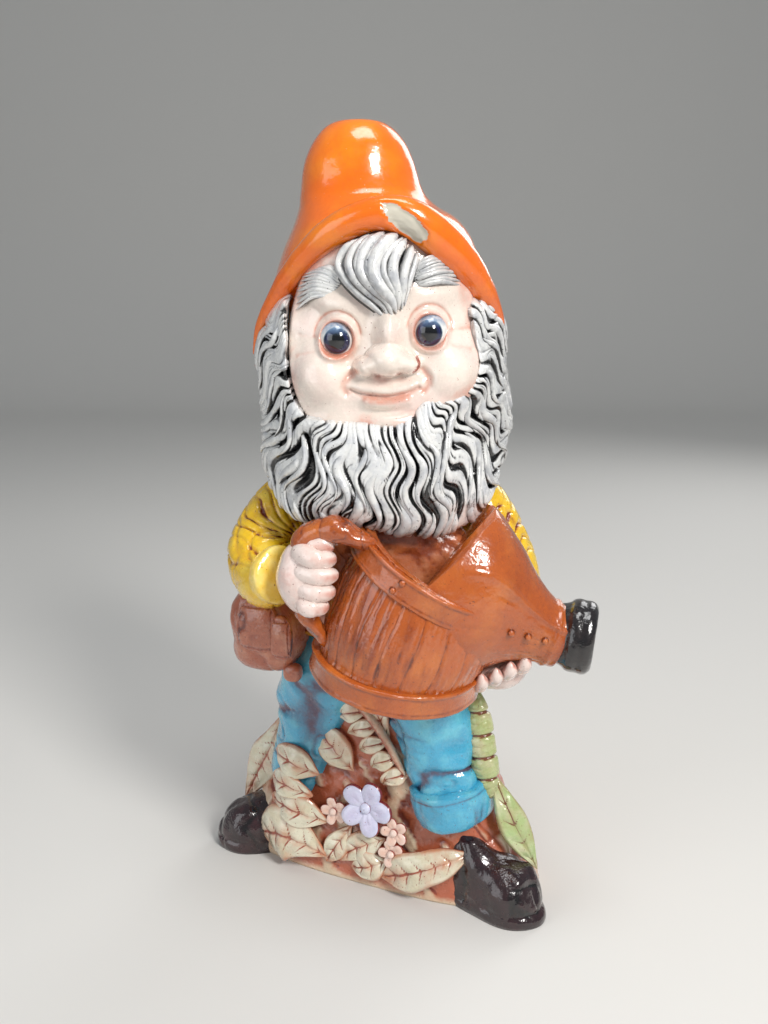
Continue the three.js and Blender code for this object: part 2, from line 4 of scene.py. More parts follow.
import bpy
import numpy as np
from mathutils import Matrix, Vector


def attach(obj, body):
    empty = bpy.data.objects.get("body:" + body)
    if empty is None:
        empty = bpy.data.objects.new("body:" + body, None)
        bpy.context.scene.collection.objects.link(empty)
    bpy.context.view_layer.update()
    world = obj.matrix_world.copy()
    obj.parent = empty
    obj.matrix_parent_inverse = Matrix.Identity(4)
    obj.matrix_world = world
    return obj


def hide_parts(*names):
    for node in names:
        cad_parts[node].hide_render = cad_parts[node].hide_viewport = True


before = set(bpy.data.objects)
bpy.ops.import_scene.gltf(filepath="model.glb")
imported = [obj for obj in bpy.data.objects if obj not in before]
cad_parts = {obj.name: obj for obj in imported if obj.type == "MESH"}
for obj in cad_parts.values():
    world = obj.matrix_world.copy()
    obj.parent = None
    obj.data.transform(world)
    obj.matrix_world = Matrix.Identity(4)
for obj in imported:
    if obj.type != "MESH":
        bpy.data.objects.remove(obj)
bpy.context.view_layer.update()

# ---- the ground the figure stands on ----
# The lower end of the casting: a low ridge of clay, hollow inside, set slantwise under the two boots.
# Sponged with thin iron-red slip that gathers in the hollows, then glazed clear.


def spline(values, s):
    """Catmull-Rom curve through evenly spaced values (numbers or points), read at shares s from 0 to 1."""
    v = np.asarray(values, float)
    q = np.concatenate([2 * v[:1] - v[1:2], v, 2 * v[-1:] - v[-2:-1]])
    t = held(np.asarray(s, float)) * (len(v) - 1)
    i = np.minimum(t.astype(int), len(v) - 2)
    f = (t - i).reshape(t.shape + (1,) * (v.ndim - 1))
    a, b, c, d = q[i], q[i + 1], q[i + 2], q[i + 3]
    return 0.5 * (2 * b + (c - a) * f + (2 * a - 5 * b + 4 * c - d) * f**2 + (3 * b - a - 3 * c + d) * f**3)


def held(v, low=0, high=1):
    """v kept between two limits."""
    return np.clip(v, low, high)


def peak(v, width):
    """A smooth peak, exp(-(v / width)^2): one where v is 0, almost nothing at twice the width."""
    return np.exp(-(v / width) ** 2)


def bend(c, n):
    """Signed power, which squares off a circle."""
    return np.sign(c) * np.abs(c) ** n


def hash3(i, seed):
    """A fixed number from -1 to 1 for every whole-numbered corner of a cubic lattice: its three counts times
    large primes, mixed bit by bit."""
    h = (i[..., 0] * 73856093) ^ (i[..., 1] * 19349663) ^ (i[..., 2] * 83492791) ^ (seed * 26544357 + 977)
    h = h & 0x7FFFFFFF
    h = (h ^ (h >> 13)) * 1274126177 & 0x7FFFFFFF
    h = (h ^ (h >> 16)) * 668265263 & 0x7FFFFFFF
    return (h >> 7) / (1 << 23) - 1.0


def lumps(p, size, seed):
    """Smooth noise from -1 to 1: hashed values on a lattice `size` mm apart, eased between its corners."""
    q = np.asarray(p, float) / size + 40.0
    i = np.floor(q).astype(np.int64)
    f = q - i
    f = f * f * (3 - 2 * f)
    total = 0.0
    for corner in np.ndindex(2, 2, 2):
        share = np.prod(np.where(np.array(corner) == 1, f, 1 - f), axis=-1)
        total = total + share * hash3(i + np.array(corner), seed)
    return total


def sheet(rows, cols):
    """The two parameters of a grid, ready to broadcast: shares t from 0 to 1 down the rows, angles a round
    the columns."""
    return ((np.arange(rows) + 0.5) / rows)[:, None], (2 * pi * np.arange(cols) / cols)[None]


def at(x, y, z):
    """Points from three coordinates of any shapes that broadcast together."""
    return np.stack(np.broadcast_arrays(*(np.asarray(v, float) for v in (x, y, z))), -1)


def outward(grid, closed_rows=False):
    """Unit normals of a grid whose columns run round a piece: cross product of its two central differences,
    turned away from the middle of each row."""
    down = np.roll(grid, -1, 0) - np.roll(grid, 1, 0) if closed_rows else np.gradient(grid, axis=0)
    n = unit(np.cross(down, np.roll(grid, -1, 1) - np.roll(grid, 1, 1)))
    return -n if np.mean(np.sum(n * (grid - grid.mean(1, keepdims=True)), -1)) < 0 else n


def unit(v):
    """Vectors brought to length one."""
    return v / (np.linalg.norm(v, axis=-1, keepdims=True) + 1e-9)


def pressed(grid, lift, closed_rows=False):
    """A skin raised by `lift` mm along its outward normals, or pressed in where that is negative."""
    return grid + outward(grid, closed_rows) * lift[..., None]


def skin(grid, ink, wash, closed_rows):
    """Points, four-cornered faces and the two paints of a stack of grids (skins, rows, columns, 3). Columns
    close on themselves; the end rows close on their mean point, or on each other for a ring. A skin whose
    signed volume is negative is turned round. A face at a pole names its mean point's neighbour twice."""
    count, rows, cols, _ = grid.shape
    paints = [np.broadcast_to(np.asarray(k, float), grid.shape[:3]).reshape(count, -1) for k in (ink, wash)]
    points = grid.reshape(count, -1, 3)
    cell = np.arange(rows * cols).reshape(rows, cols)
    beside = np.roll(cell, -1, 1)
    if closed_rows:
        quads = np.stack([cell, np.roll(cell, -1, 0), np.roll(beside, -1, 0), beside], -1).reshape(-1, 4)
    else:
        quads = np.stack([cell[:-1], cell[1:], beside[1:], beside[:-1]], -1).reshape(-1, 4)
        points = np.concatenate([points, grid[:, 0].mean(1)[:, None], grid[:, -1].mean(1)[:, None]], 1)
        paints = [np.concatenate([k, k[:, :cols].mean(1)[:, None], k[:, -cols:].mean(1)[:, None]], 1)
                  for k in paints]
        first_pole, last_pole = np.full(cols, rows * cols), np.full(cols, rows * cols + 1)
        quads = np.concatenate([quads, np.stack([first_pole, cell[0], beside[0], beside[0]], -1),
                                np.stack([last_pole, beside[-1], cell[-1], cell[-1]], -1)])
    corners = points[:, quads]
    a, b, c, d = (corners[:, :, k] for k in range(4))
    twice_area = np.cross(b - a, c - a) + np.cross(c - a, d - a)
    volume = np.sum((a - points.mean(1)[:, None]) * twice_area, axis=(1, 2))
    faces = np.where(volume[:, None, None] < 0, quads[None, :, ::-1], quads[None])
    faces = faces + np.arange(count)[:, None, None] * points.shape[1]
    return points.reshape(-1, 3), faces.reshape(-1, 4), paints[0].ravel(), paints[1].ravel()


def cast(name, parts, glaze, node=None, closed_rows=False):
    """One object from closed skins, given in mm as (grid or stack of grids, ink, wash), with the two paints
    from 0 to 1. It takes the place of the CAD node of its own name, of `node`, or of none if that is
    empty."""
    skins, start = [], 0
    for grid, ink, wash in parts:
        grid = np.asarray(grid, float)
        points, faces, *paints = skin(grid.reshape((-1,) + grid.shape[-3:]), ink, wash, closed_rows)
        skins.append((points, faces + start, *paints))
        start += len(points)
    points, faces, ink, wash = (np.concatenate(column) for column in zip(*skins))
    pole_last, pole_first = faces[:, 2] == faces[:, 3], faces[:, 0] == faces[:, 1]
    whole = faces[~(pole_last | pole_first)].tolist()
    whole += faces[pole_last][:, :3].tolist() + faces[pole_first][:, 1:].tolist()
    mesh = bpy.data.meshes.new(name)
    mesh.from_pydata((points / 1000).tolist(), [], whole)
    mesh.polygons.foreach_set("use_smooth", [True] * len(mesh.polygons))
    for label, values in (("ink", ink), ("wash", wash)):
        mesh.attributes.new(label, "FLOAT", "POINT").data.foreach_set("value", held(values))
    mesh.materials.append(glaze)
    mesh.update()
    piece = bpy.data.objects.new(name, mesh)
    bpy.context.scene.collection.objects.link(piece)
    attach(piece, "root")
    if node != "":
        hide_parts(node or name.removesuffix("_glazed"))


def tone(red, green, blue):
    """A colour mixed on the 0 to 255 scale, as linear light."""
    c = np.array([red, green, blue]) / 255
    return (*np.where(c <= 0.04045, c / 12.92, ((c + 0.055) / 1.055) ** 2.4).tolist(), 1.0)


def add(tree, kind, inputs, **settings):
    """One node in a material: its own settings, and its sockets filled with numbers, colours or outputs."""
    node = tree.nodes.new("ShaderNode" + kind)
    for key, value in settings.items():
        setattr(node, key, value)
    for socket, value in inputs.items():
        if isinstance(value, bpy.types.NodeSocket):
            tree.links.new(value, node.inputs[socket])
        else:
            node.inputs[socket].default_value = value
    return node


def new_material(name):
    """An empty material, its node tree and the output that gives its Object coordinates."""
    material = bpy.data.materials.new(name)
    material.use_nodes = True
    material.node_tree.nodes.clear()
    return material, material.node_tree, add(material.node_tree, "TexCoord", {}).outputs["Object"]


def make_glaze(name, colour, thin, ink, wash, mottle, gloss, dimple, ink_at=0.5, pinholes=0.83):
    """Painted glaze. The colour thins out in soft patches `mottle` mm wide; the `wash` and `ink` attributes,
    broken up by fine noise, lay stain over it; pinholes speckle it; orange-peel dimples and a slow pull in
    the glaze bump it; roughness wanders a little above `gloss`, and the clear coat is about a third of
    that."""
    glaze, tree, place = new_material(name)
    colour, thin, ink, wash = (tone(*k) for k in (colour, thin, ink, wash))

    def noise(width, detail):
        sockets = {"Vector": place, "Scale": 1000 / width, "Detail": detail}
        return add(tree, "TexNoise", sockets).outputs["Fac"]

    def ramp(value, low, high, to_low=0.0, to_high=1.0):
        sockets = {0: value, 1: low, 2: high, 3: to_low, 4: to_high}
        return add(tree, "MapRange", sockets, interpolation_type="SMOOTHSTEP").outputs[0]

    def sum_of(a, b, factor):
        return add(tree, "Math", {0: a, 1: factor, 2: b}, operation="MULTIPLY_ADD").outputs[0]

    def laid(under, over, share):
        return add(tree, "Mix", {0: share, 6: under, 7: over}, data_type="RGBA").outputs[2]

    def brushed(label, low, high, breaking):
        mark = add(tree, "Attribute", {}, attribute_name=label).outputs["Fac"]
        return ramp(sum_of(fine, mark, breaking), low, high)

    fine = noise(2.4, 3)
    coat = laid(colour, thin, ramp(noise(mottle, 3), 0.42, 0.72))
    stained = laid(coat, wash, brushed("wash", 0.28, 1.15, 0.5))
    lined = laid(stained, ink, brushed("ink", ink_at + 0.02, ink_at + 0.34, 0.34))
    speckled = laid(lined, ink, ramp(noise(0.9, 0), pinholes - 0.04, pinholes))
    peel = add(tree, "Bump", {"Strength": dimple, "Distance": 0.0006,
                              "Height": sum_of(noise(5, 1), noise(1.3, 1), 2.2)}).outputs[0]
    shader = add(tree, "BsdfPrincipled", {
        "Base Color": speckled, "Roughness": ramp(fine, 0.3, 0.7, gloss + 0.10, gloss + 0.22), "IOR": 1.5,
        "Coat Weight": 0.9, "Coat Roughness": gloss * 0.35, "Coat IOR": 1.5, "Normal": peel,
        "Coat Normal": peel})
    add(tree, "OutputMaterial", {"Surface": shader.outputs[0]})
    return glaze


BASE_CENTRE = np.array([-1.0, -4.0, 0.0])
BASE_YAW = radians(25.5)
MOUND_TOP = 122
MOUND_HALF = [90, 84, 73, 66, 59, 53, 48]
MOUND_FRONT = [-28, -24.5, -22, -20, -19, -18, -16]
MOUND_BACK = [44, 42, 39, 35, 31, 27, 24]


def on_base(u, w, z):
    """A point of the base frame in the world: u along the line of the feet, w backwards, z up."""
    c, s = np.cos(BASE_YAW), np.sin(BASE_YAW)
    u, w = np.asarray(u, float), np.asarray(w, float)
    return at(u * c + w * s, w * c - u * s, z) + BASE_CENTRE


def mound(rows=160, cols=260):
    """A squared-off ring at every height, closed at the foot and the top. Slanted, stretched noise raises
    pale leaf-shaped pads wherever it is above zero and leaves stained hollows between them."""
    t, a = sheet(rows, cols)
    shell = held(np.minimum(t / 0.1, (1 - t) / 0.12)) ** 0.6
    z = MOUND_TOP * (1 - held((t - 0.1) / 0.78))
    half, front, back = (spline(v, z / MOUND_TOP) for v in (MOUND_HALF, MOUND_FRONT, MOUND_BACK))
    w = (front + back) / 2 + shell * (back - front) / 2 * bend(np.sin(a), 0.62)
    grid = on_base(shell * half * bend(np.cos(a), 0.75), w, z)
    side = outward(grid) * [1, 1, 0.4]
    rough = 1.7 * lumps(grid, 13, 1) + 1.0 * lumps(grid, 6, 2) + 0.45 * lumps(grid, 2.8, 3)
    x, y, h = np.moveaxis(grid, -1, 0)
    slant = at(x + 0.7 * h, 0.8 * y, 0.5 * h - 0.4 * x)
    pad = lumps(slant, 9, 5) + 0.35 * lumps(slant, 4.5, 4) - 0.06
    furrow = peak(pad, 0.15)
    pad = held((pad + 0.05) / 0.3) * (0.4 + 0.6 * held(0.4 - 2 * np.sin(a)))
    lift = (0.7 * rough + 1.4 * pad - 1.0 * furrow) * held(z / 9) * shell
    grid = grid + side * lift[..., None]
    ink = held(0.6 * furrow - 0.2 * rough, 0, 0.9) * held(z / 6)
    wash = held(1.0 - 0.85 * pad + 0.3 * furrow + 0.3 * lumps(grid, 9, 6)) * (1 - held(1 - z / 5))
    return grid, ink, wash


ground_glaze = make_glaze("glaze_ground", (218, 196, 166), (214, 176, 144), (136, 56, 36), (186, 98, 66),
                          mottle=11, gloss=0.16, dimple=0.35)
cast("base_ground", [mound()], ground_glaze, node="base_mound")

# ---- boots ----
# Thick clay boots, modelled with lumps and creases and left standing beyond the ends of the mound. Brushed
# with aubergine-black manganese glaze that runs dark and very glossy.


def boot(ankle, heading, long, seed, rows=110, cols=150):
    """Sections across the heading, flat below and domed above, with a welt at the sole and creased
    leather."""
    way = np.array([np.cos(heading), np.sin(heading), 0])
    side = np.array([-way[1], way[0], 0])
    t, a = sheet(rows, cols)
    s = 0.5 - 0.5 * np.cos(pi * t)
    end = np.sqrt(np.maximum(0, 1 - np.abs(2 * s - 1) ** 4))
    half = spline([11, 14, 15.5, 16.5, 17.5, 17, 14], s) * end
    top = spline([30, 44, 38, 31, 28, 26, 22], s)
    rise = np.maximum(0, np.sin(a)) ** 0.85 * top * end
    heel = 14
    reach = (long + heel) * s - heel
    grid = (np.array(ankle) + way * (reach + 0 * a)[..., None] + side * (half * bend(np.cos(a), 0.7))[..., None]
            + np.array([0, 0, 1]) * rise[..., None])
    above = held(grid[..., 2] / 5)
    fold = peak(lumps(grid, 17, seed + 2), 0.12) + 0.4 * peak(lumps(grid, 10, seed + 3), 0.14)
    welt = peak(grid[..., 2] - 7, 1.3) * (s > 0.3)
    lift = 2.0 * lumps(grid, 16, seed) + 0.9 * lumps(grid, 8, seed + 1) - 0.9 * fold - 0.7 * welt
    grid = pressed(grid, lift * above)
    grid[..., 2] = np.maximum(grid[..., 2], 0)
    return grid, 0.6 * fold * above, 0.35 + 0.4 * lumps(grid, 9, seed + 5)


boot_glaze = make_glaze("glaze_boot", (34, 19, 24), (66, 36, 40), (9, 5, 7), (44, 24, 27),
                        mottle=9, gloss=0.07, dimple=0.3)
cast("boot_left_glazed", [boot((44, -35, 0), -0.66, 50, 11)], boot_glaze)
cast("boot_right_glazed", [boot((-50, 21, 0), -3.02, 50, 21)], boot_glaze)

# ---- leaves on the ground ----
# Relief leaves pressed in the same mould, each a shallow lens with a midrib, side veins and a rolled edge.
# Cream-khaki glaze over; red-brown slip stays in the veins and round the edges.


def on_front(u, z, out):
    """A point on the ground's front: u along the line of the feet, z up, lifted by `out`."""
    u, z, out = (np.asarray(v, float) for v in (u, z, out))
    reach = np.maximum(0.1, 1 - (np.abs(u) / (spline(MOUND_HALF, z / MOUND_TOP) + 6)) ** 5)
    return on_base(u, spline(MOUND_FRONT, z / MOUND_TOP) * reach - out, z)


def curve(points, s):
    """Catmull-Rom curve through points, read at shares s of its length."""
    t = np.linspace(0, 1, 400)
    length = np.r_[0, np.cumsum(np.linalg.norm(np.diff(spline(points, t), axis=0), axis=1))]
    return spline(points, np.interp(np.asarray(s) * length[-1], length, t))


def limb(points, radii, rows, cols, thick=1.0, face=(0, -1, 0), blunt=5.0):
    """A round-ended tube on a curve: half-width radii(s) * sqrt(1 - |2s-1|^blunt) across `face`, `thick`
    times that along it. Gives the grid with the share s, the angle a and the direction out of the face."""
    t, a = sheet(rows, cols)
    s = 0.5 - 0.5 * np.cos(pi * t[:, 0])
    spine = curve(points, s)
    tangent = curve(points, np.minimum(s + 0.01, 1)) - curve(points, np.maximum(s - 0.01, 0))
    tangent /= np.linalg.norm(tangent, axis=1, keepdims=True)
    side = unit(np.cross(tangent, np.array(face, float)))
    out = np.cross(side, tangent)[:, None]
    r = (spline(radii, s) * np.sqrt(np.maximum(0, 1 - np.abs(2 * s - 1) ** blunt)))[:, None]
    sideways = (r * np.cos(a))[..., None] * side[:, None]
    return spine[:, None] + sideways + (r * np.sin(a) * thick)[..., None] * out, s[:, None], a, out


def leaf(points, widths, veins, seed, rows=90, cols=64, thick=0.3, facing=(-0.43, -0.9, 0.1)):
    """A limb squashed into a lens. Across it c runs from -1 to 1: the midrib is a groove exp(-(c/0.085)^2),
    the side veins are grooves where s * veins + 0.75 |c| is half past a whole number, and the blade swells
    between."""
    wavy = [w * (1.0 + 0.12 * ((i * 7 + seed) % 3 - 1)) for i, w in enumerate(widths)]
    grid, s, a, out = limb(points, wavy, rows, cols, thick=thick, face=facing, blunt=2.3)
    c = np.cos(a) + 0 * s
    across = np.abs(c)
    front = held(np.sin(a) * 3 + 0.4) * held(np.minimum(s, 1 - s) * 9)
    rib = peak(c, 0.085)
    phase = (s * veins + across * 0.75) % 1.0
    vein = peak(phase - 0.5, 0.085) * held(1.25 - across * 1.1) * (across > 0.06)
    swell = 0.5 * np.cos(2 * pi * phase) * (1 - across) ** 2
    lip = 0.55 * peak(across - 0.84, 0.12)
    lift = front * (swell + lip - rib - 0.55 * vein + 0.5 * lumps(grid, 6, seed))
    grid = grid + out * lift[..., None]
    lines = held(np.maximum(0.95 * rib * held(1.15 - s), 0.72 * vein)) * front
    ends = 0.15 + 0.6 * (1 - held(np.minimum(s * 4, (1 - s) * 6)))
    wash = ends + 0.3 * lumps(grid, 8, seed + 3) + 0.45 * held((across - 0.75) / 0.2) + 0.3 * peak(c, 0.25)
    return grid, lines + 0.55 * held((across - 0.94) / 0.05), wash


def relief(spots):
    """Points of a leaf's spine from (u, z, lift), let 1.3 mm into the ground."""
    return [on_front(u, z, lift - 1.3) for u, z, lift in spots]


leaf_glaze = make_glaze("glaze_leaf", (228, 222, 198), (216, 206, 176), (156, 70, 44), (202, 132, 96),
                        mottle=9, gloss=0.12, dimple=0.3, ink_at=0.42)
LEAVES = {  # spine as (u, z, lift), half-widths along it, side veins
    "leaf_tall_right": ([[-92, 18, 3], [-79, 42, 4.5], [-68, 62, 4.5], [-59, 86, 2.5]],
                        [2, 8, 10.5, 8.5, 1.5], 8),
    "leaf_narrow": ([[6, 108, 2.5], [9, 98, 4], [14, 87, 2.5]], [2, 5.5, 4.5, 2], 3),
    "leaf_lens": ([[-33, 88, 3], [-20, 78, 4.5], [-7, 64, 3]], [2, 9, 10.5, 8, 2], 5),
    "leaf_small_upper": ([[-57, 68, 11], [-43, 68, 14.5], [-26, 61, 9]], [4, 8.5, 9, 4.5], 3),
    "leaf_small_lower": ([[-58, 53, 11], [-44, 53, 15], [-29, 48, 10]], [5, 7.5, 7.5, 4], 3),
    "leaf_side": ([[-60, 39, 8], [-42, 39, 12], [-21, 33, 6]], [4, 9.5, 10.5, 4], 4),
    "leaf_broad_front": ([[-70, 13, 4], [-46, 21, 8], [-21, 12, 4]], [4, 14.5, 15.5, 12, 4], 6),
    "leaf_fold_front": ([[-22, 8, 2.5], [-15, 20, 4.5], [-7, 33, 3]], [3, 6.5, 7, 2], 4),
    "leaf_middle_front": ([[-16, 11, 2.5], [-2, 22, 4.5], [14, 30, 3]], [3, 7.5, 8.5, 2], 5),
    "leaf_low_front": ([[-6, 9, 2.5], [5, 13, 4.5], [16, 18, 3]], [4, 7.5, 8, 3], 4),
    "leaf_long_front": ([[12, 8, 3], [38, 20, 6.5], [63, 31, 3]], [3, 10.5, 11.5, 9, 3], 7),
}
for i, (name, (spots, widths, veins)) in enumerate(LEAVES.items()):
    cast(name + "_glazed", [leaf(relief(spots), widths, veins, i)], leaf_glaze)

# ---- the fern on the front and the green plants on his left ----
# A stem with six leaflets in the ground's relief, then a jointed frond and a long leaf in apple green. All are
# pressed on while the clay is soft, and the same red-brown slip stays in their joints.


def frond_front():
    """The stem is a thin limb; each leaflet is a leaf that grows from it down and to his right."""
    grid, s, a, _ = limb(on_front([-13, 9, 25], [112, 94, 70], [4.5, 5, 4.5]), [1.6, 2.4, 2], 60, 14)
    # The stem is inked darker along one side, its lower left, than along the other: painted shade.
    parts = [(grid, 0.35 + 0.3 * np.cos(a) + 0 * s, 0.5)]
    for i in range(6):
        u, z = -9 + 6.4 * i, 108 - 7.6 * i
        spots = [(u + 4, z + 1, 4), (u - 6 - 0.4 * i, z + 0.4 - 0.8 * i, 6.5),
                 (u - 18 + 1.2 * i, z - 4.4 - 1.1 * i, 3)]
        parts.append(leaf(relief(spots), [2, 5.0, 5.4, 3.0, 1], 2, 20 + i, rows=48, cols=40, thick=0.5))
    return parts


def frond_left(joints=5):
    """A limb pinched between its joints, with a ring of red-brown at each and three barbs to a joint."""
    grid, s, a, out = limb([on_base(u, w, z) for u, w, z in ((57, -5, 119), (62, -8, 92), (69, -10, 60))],
                           [6, 8, 8, 8, 6.5], 150, 44, thick=0.8, face=(-0.43, -0.9, 0), blunt=3)
    pinch = np.exp(-(((s * joints) % 1.0 - 0.5) / 0.5) ** 6)
    joint = peak((s * joints + 0.5) % 1.0 - 0.5, 0.07)
    spine = grid.mean(1, keepdims=True)
    grid = spine + (grid - spine) * (0.72 + 0.28 * np.sqrt(pinch) - 0.16 * joint)[..., None]
    barb = peak((s * 3 * joints + np.abs(np.cos(a)) * 0.5) % 1.0 - 0.5, 0.12) * (np.sin(a) > 0)
    grid = grid - out * (0.5 * barb)[..., None]
    return grid, held(0.8 * joint + 0.5 * barb), 0.35


green_glaze = make_glaze("glaze_green_leaf", (176, 196, 134), (212, 212, 172), (116, 62, 36), (168, 148, 96),
                         mottle=10, gloss=0.12, dimple=0.3)
long_leaf = [on_base(u, w, z) for u, w, z in ((69, -8, 74), (81, -7, 47), (94, -2, 20))]
cast("fern_front_glazed", frond_front(), leaf_glaze)
cast("fern_left_glazed", [frond_left()], green_glaze)
cast("leaf_left_glazed", [leaf(long_leaf, [3, 7, 8.5, 6, 2], 5, 41, thick=0.5, facing=(0.2, -1, 0.3))],
     green_glaze)

# ---- flowers ----
# One five-petalled flower in pale lilac with dark-red outlines, and three small pink blossoms, all in
# relief.


def petal_ring(u, z, reach, size, turn, rows, cols, petals=5):
    """Each petal is a flattened round whose rim is notched by (1 - 0.1 cos 2a) and which dips towards its
    root."""
    parts = []
    t, a = sheet(rows, cols)
    r = np.sin(pi * t) ** 0.8
    across = size * r * np.cos(a) * (1 - 0.1 * np.cos(2 * a))
    along = reach + size * 1.1 * r * np.sin(a)
    rise = 0.55 * size * np.cos(pi * t) * (t < 0.5) + 0.4 * r * size * (0.3 + 0.5 * np.sin(a))
    rib = peak(across / size, 0.1) * (np.sin(a) < 0.4) * (r < 0.95)
    rim = held((r - 0.86) / 0.1) * (t >= 0.3)
    for angle in turn + 2 * pi * np.arange(petals) / petals:
        grid = on_front(u + along * np.sin(angle) + across * np.cos(angle),
                        z + along * np.cos(angle) - across * np.sin(angle),
                        3.2 + 0.36 * size + rise - 0.35 * rib)
        parts.append((grid, held(0.9 * rim + 0.35 * rib), 0.25 + 0.5 * (1 - r)))
    return parts


def bud(u, z, out, size, rows=20, cols=28):
    """A small round boss standing off the ground's front."""
    t, a = sheet(rows, cols)
    r = size * np.sin(pi * t)
    grid = on_front(u + r * np.cos(a), z + r * np.sin(a), out + size * 0.8 * np.cos(pi * t) + 0 * a)
    return grid, held(0.95 - 1.5 * np.cos(pi * t), 0, 0.9), 0.2


lilac_glaze = make_glaze("glaze_lilac", (222, 224, 244), (206, 212, 238), (128, 44, 50), (206, 200, 228),
                         mottle=6, gloss=0.1, dimple=0.3)
pink_glaze = make_glaze("glaze_pink", (246, 222, 210), (242, 206, 190), (150, 60, 46), (234, 190, 168),
                        mottle=5, gloss=0.12, dimple=0.3)
cast("flower_large_glazed", petal_ring(3.7, 48, 8.6, 6.9, 0.35, 28, 40) + [bud(3.7, 48, 7.4, 3.2)], lilac_glaze)
for name, u, z, reach, size in (("blossom_side", -17, 40.5, 4.6, 3.4), ("blossom_upper", 20.5, 37, 4.6, 3.5),
                                ("blossom_lower", 19.5, 24.5, 4.4, 3.3)):
    cast(name + "_glazed", petal_ring(u, z, reach, size, 0.9, 18, 26) + [bud(u, z, 6, 2.2, 12, 18)], pink_glaze)

# ---- trousers ----
# Two thick legs cast in one with the seat, with creases at the knee, each ending in a wide turned-up hem.
# Sky-blue glaze, pooled darker in the folds over a thin purple-brown stain.


def trouser_leg(m, rows=170, cols=150):
    """A limb from the seat to the ankle, pressed with slanting creases: valleys of smooth noise drawn out
    round the leg, with a knee bulge, a lump below it and a dent beside them. m is 1 on his left and -1 on
    his right."""
    points = [on_base(m * u, w, z) for u, w, z in ((14, -2, 146), (22, -6, 128), (31, -10.5, 110),
                                                   (40, -9.3, 78), (48, -7.5, 50), (53, -7, 34))]
    grid, _, _, _ = limb(points, [26, 27, 22.5, 20.5, 19, 16], rows, cols, blunt=7)
    drawn = grid * [0.55, 0.55, 1.25]
    crease = peak(lumps(drawn, 15, 31 + m), 0.15) * held(0.5 + lumps(grid, 22, 37 + m))
    crease += 0.6 * peak(lumps(drawn, 9, 35 + m), 0.12) * held(lumps(grid, 14, 39 + m) + 0.2)
    lift = 2.0 * lumps(grid, 20, 33 + m) + 0.9 * lumps(grid, 8, 34 + m) - 2.3 * crease
    for (x, y, z), size, high in (((47, -38, 100), 11, 3.2), ((38, -40, 74), 8, 2.4), ((52, -40, 82), 7, -1.8)):
        centre = (x, y, z) if m > 0 else (-x - 8, y + 40, z)
        lift = lift + high * peak(np.linalg.norm(grid - centre, axis=-1), size)
    return pressed(grid, lift), 0.62 * crease, held(0.12 + 0.55 * crease - 0.12 * lift, 0, 0.8)


def turned(p, angle, axis):
    """Points turned about x (0), y (1) or z (2)."""
    c, s = np.cos(angle), np.sin(angle)
    i, j = ((1, 2), (2, 0), (0, 1))[axis]
    q = np.array(p, float)
    q[..., i], q[..., j] = c * p[..., i] - s * p[..., j], s * p[..., i] + c * p[..., j]
    return q


def turn_up(centre, lean, r, high, rows=220, cols=60):
    """A ring whose section is a squared round, with a lip on its upper edge and a soft sag round it."""
    a = (2 * pi * np.arange(rows) / rows)[:, None]
    b = (2 * pi * np.arange(cols) / cols)[None]
    sag = 0.9 * np.sin(3 * a + 0.6) + 0.6 * np.sin(5 * a + 2)
    lip = peak(np.sin(b) - 0.82, 0.14) * (np.cos(b) > -0.2)
    r = r + 3.9 * np.cos(b) - 2 + 0.8 * lip + 0.35 * sag
    grid = at(r * np.cos(a), r * np.sin(a), high / 2 * bend(np.sin(b), 0.6) + sag * (0.3 + 0.5 * np.sin(b)))
    grid = turned(turned(grid, lean, 1), 0.05, 0) + centre
    crease = peak(lumps(grid * [1, 1, 0.7], 13, 51), 0.12) * held(lumps(grid, 18, 52) + 0.1)
    grid = pressed(grid, 0.7 * lumps(grid, 9, 53) - 1.1 * crease, True)
    groove = peak(np.sin(b) - 0.5, 0.08) * (np.cos(b) > 0) + (np.sin(b) < -0.86)
    return grid, held(0.5 * groove + 0.5 * crease), held(0.1 + 0.5 * groove + 0.4 * crease, 0, 0.9)


blue_glaze = make_glaze("glaze_blue", (70, 170, 206), (104, 194, 216), (82, 60, 84), (72, 120, 152),
                        mottle=12, gloss=0.09, dimple=0.3)
for side, m in (("left", 1), ("right", -1)):
    cast(f"trouser_leg_{side}_glazed", [trouser_leg(m)], blue_glaze)
for side, hem in (("left", turn_up((36.5, -33.5, 57), -0.22, 20.6, 23)),
                  ("right", turn_up((-46, 11, 55), 0.2, 18.6, 20))):
    cast(f"turn_up_{side}", [hem], blue_glaze, f"trouser_cuff_{side}", closed_rows=True)

# ---- head ----
# A round-cheeked head cast in one with its snub nose and smile. Pale pinkish-cream glaze over the bare
# modelling, with a thin brown-pink wash left in the sockets and the creases. Where the hair and the hat begin
# the wash is both stain and painted shade, and under the nose and beside it on his right it is painted shade.
HEAD = np.array([0.0, -2.0, 300.0])
FACE_AXIS = np.array([1.0, 298.0])  # x and z: the line from front to back that the face and the beard go round
FACE_DEPTH = -53
FACE_EDGE = [  # angle about the axis, reach, depth: where the face runs under the beard and the hat
    (151, 50, -32), (164.5, 50.9, -36), (175.6, 48.6, -38), (194.8, 49.4, -41), (210.7, 50.5, -45),
    (220.5, 49.5, -48.5), (230.6, 43, -54), (251.6, 35.4, -57), (274.8, 33.8, -57.5), (291.1, 32.6, -57),
    (303, 32, -56.5), (313, 33.5, -56), (323.1, 38.8, -52), (336.3, 44.6, -47), (349.8, 45.7, -43),
    (365, 43.6, -39), (380.4, 44.5, -37), (395, 48, -34), (412, 53, -38), (432, 56, -43), (450, 57, -45),
    (468, 56, -43), (488, 53, -38), (511, 50, -32)]


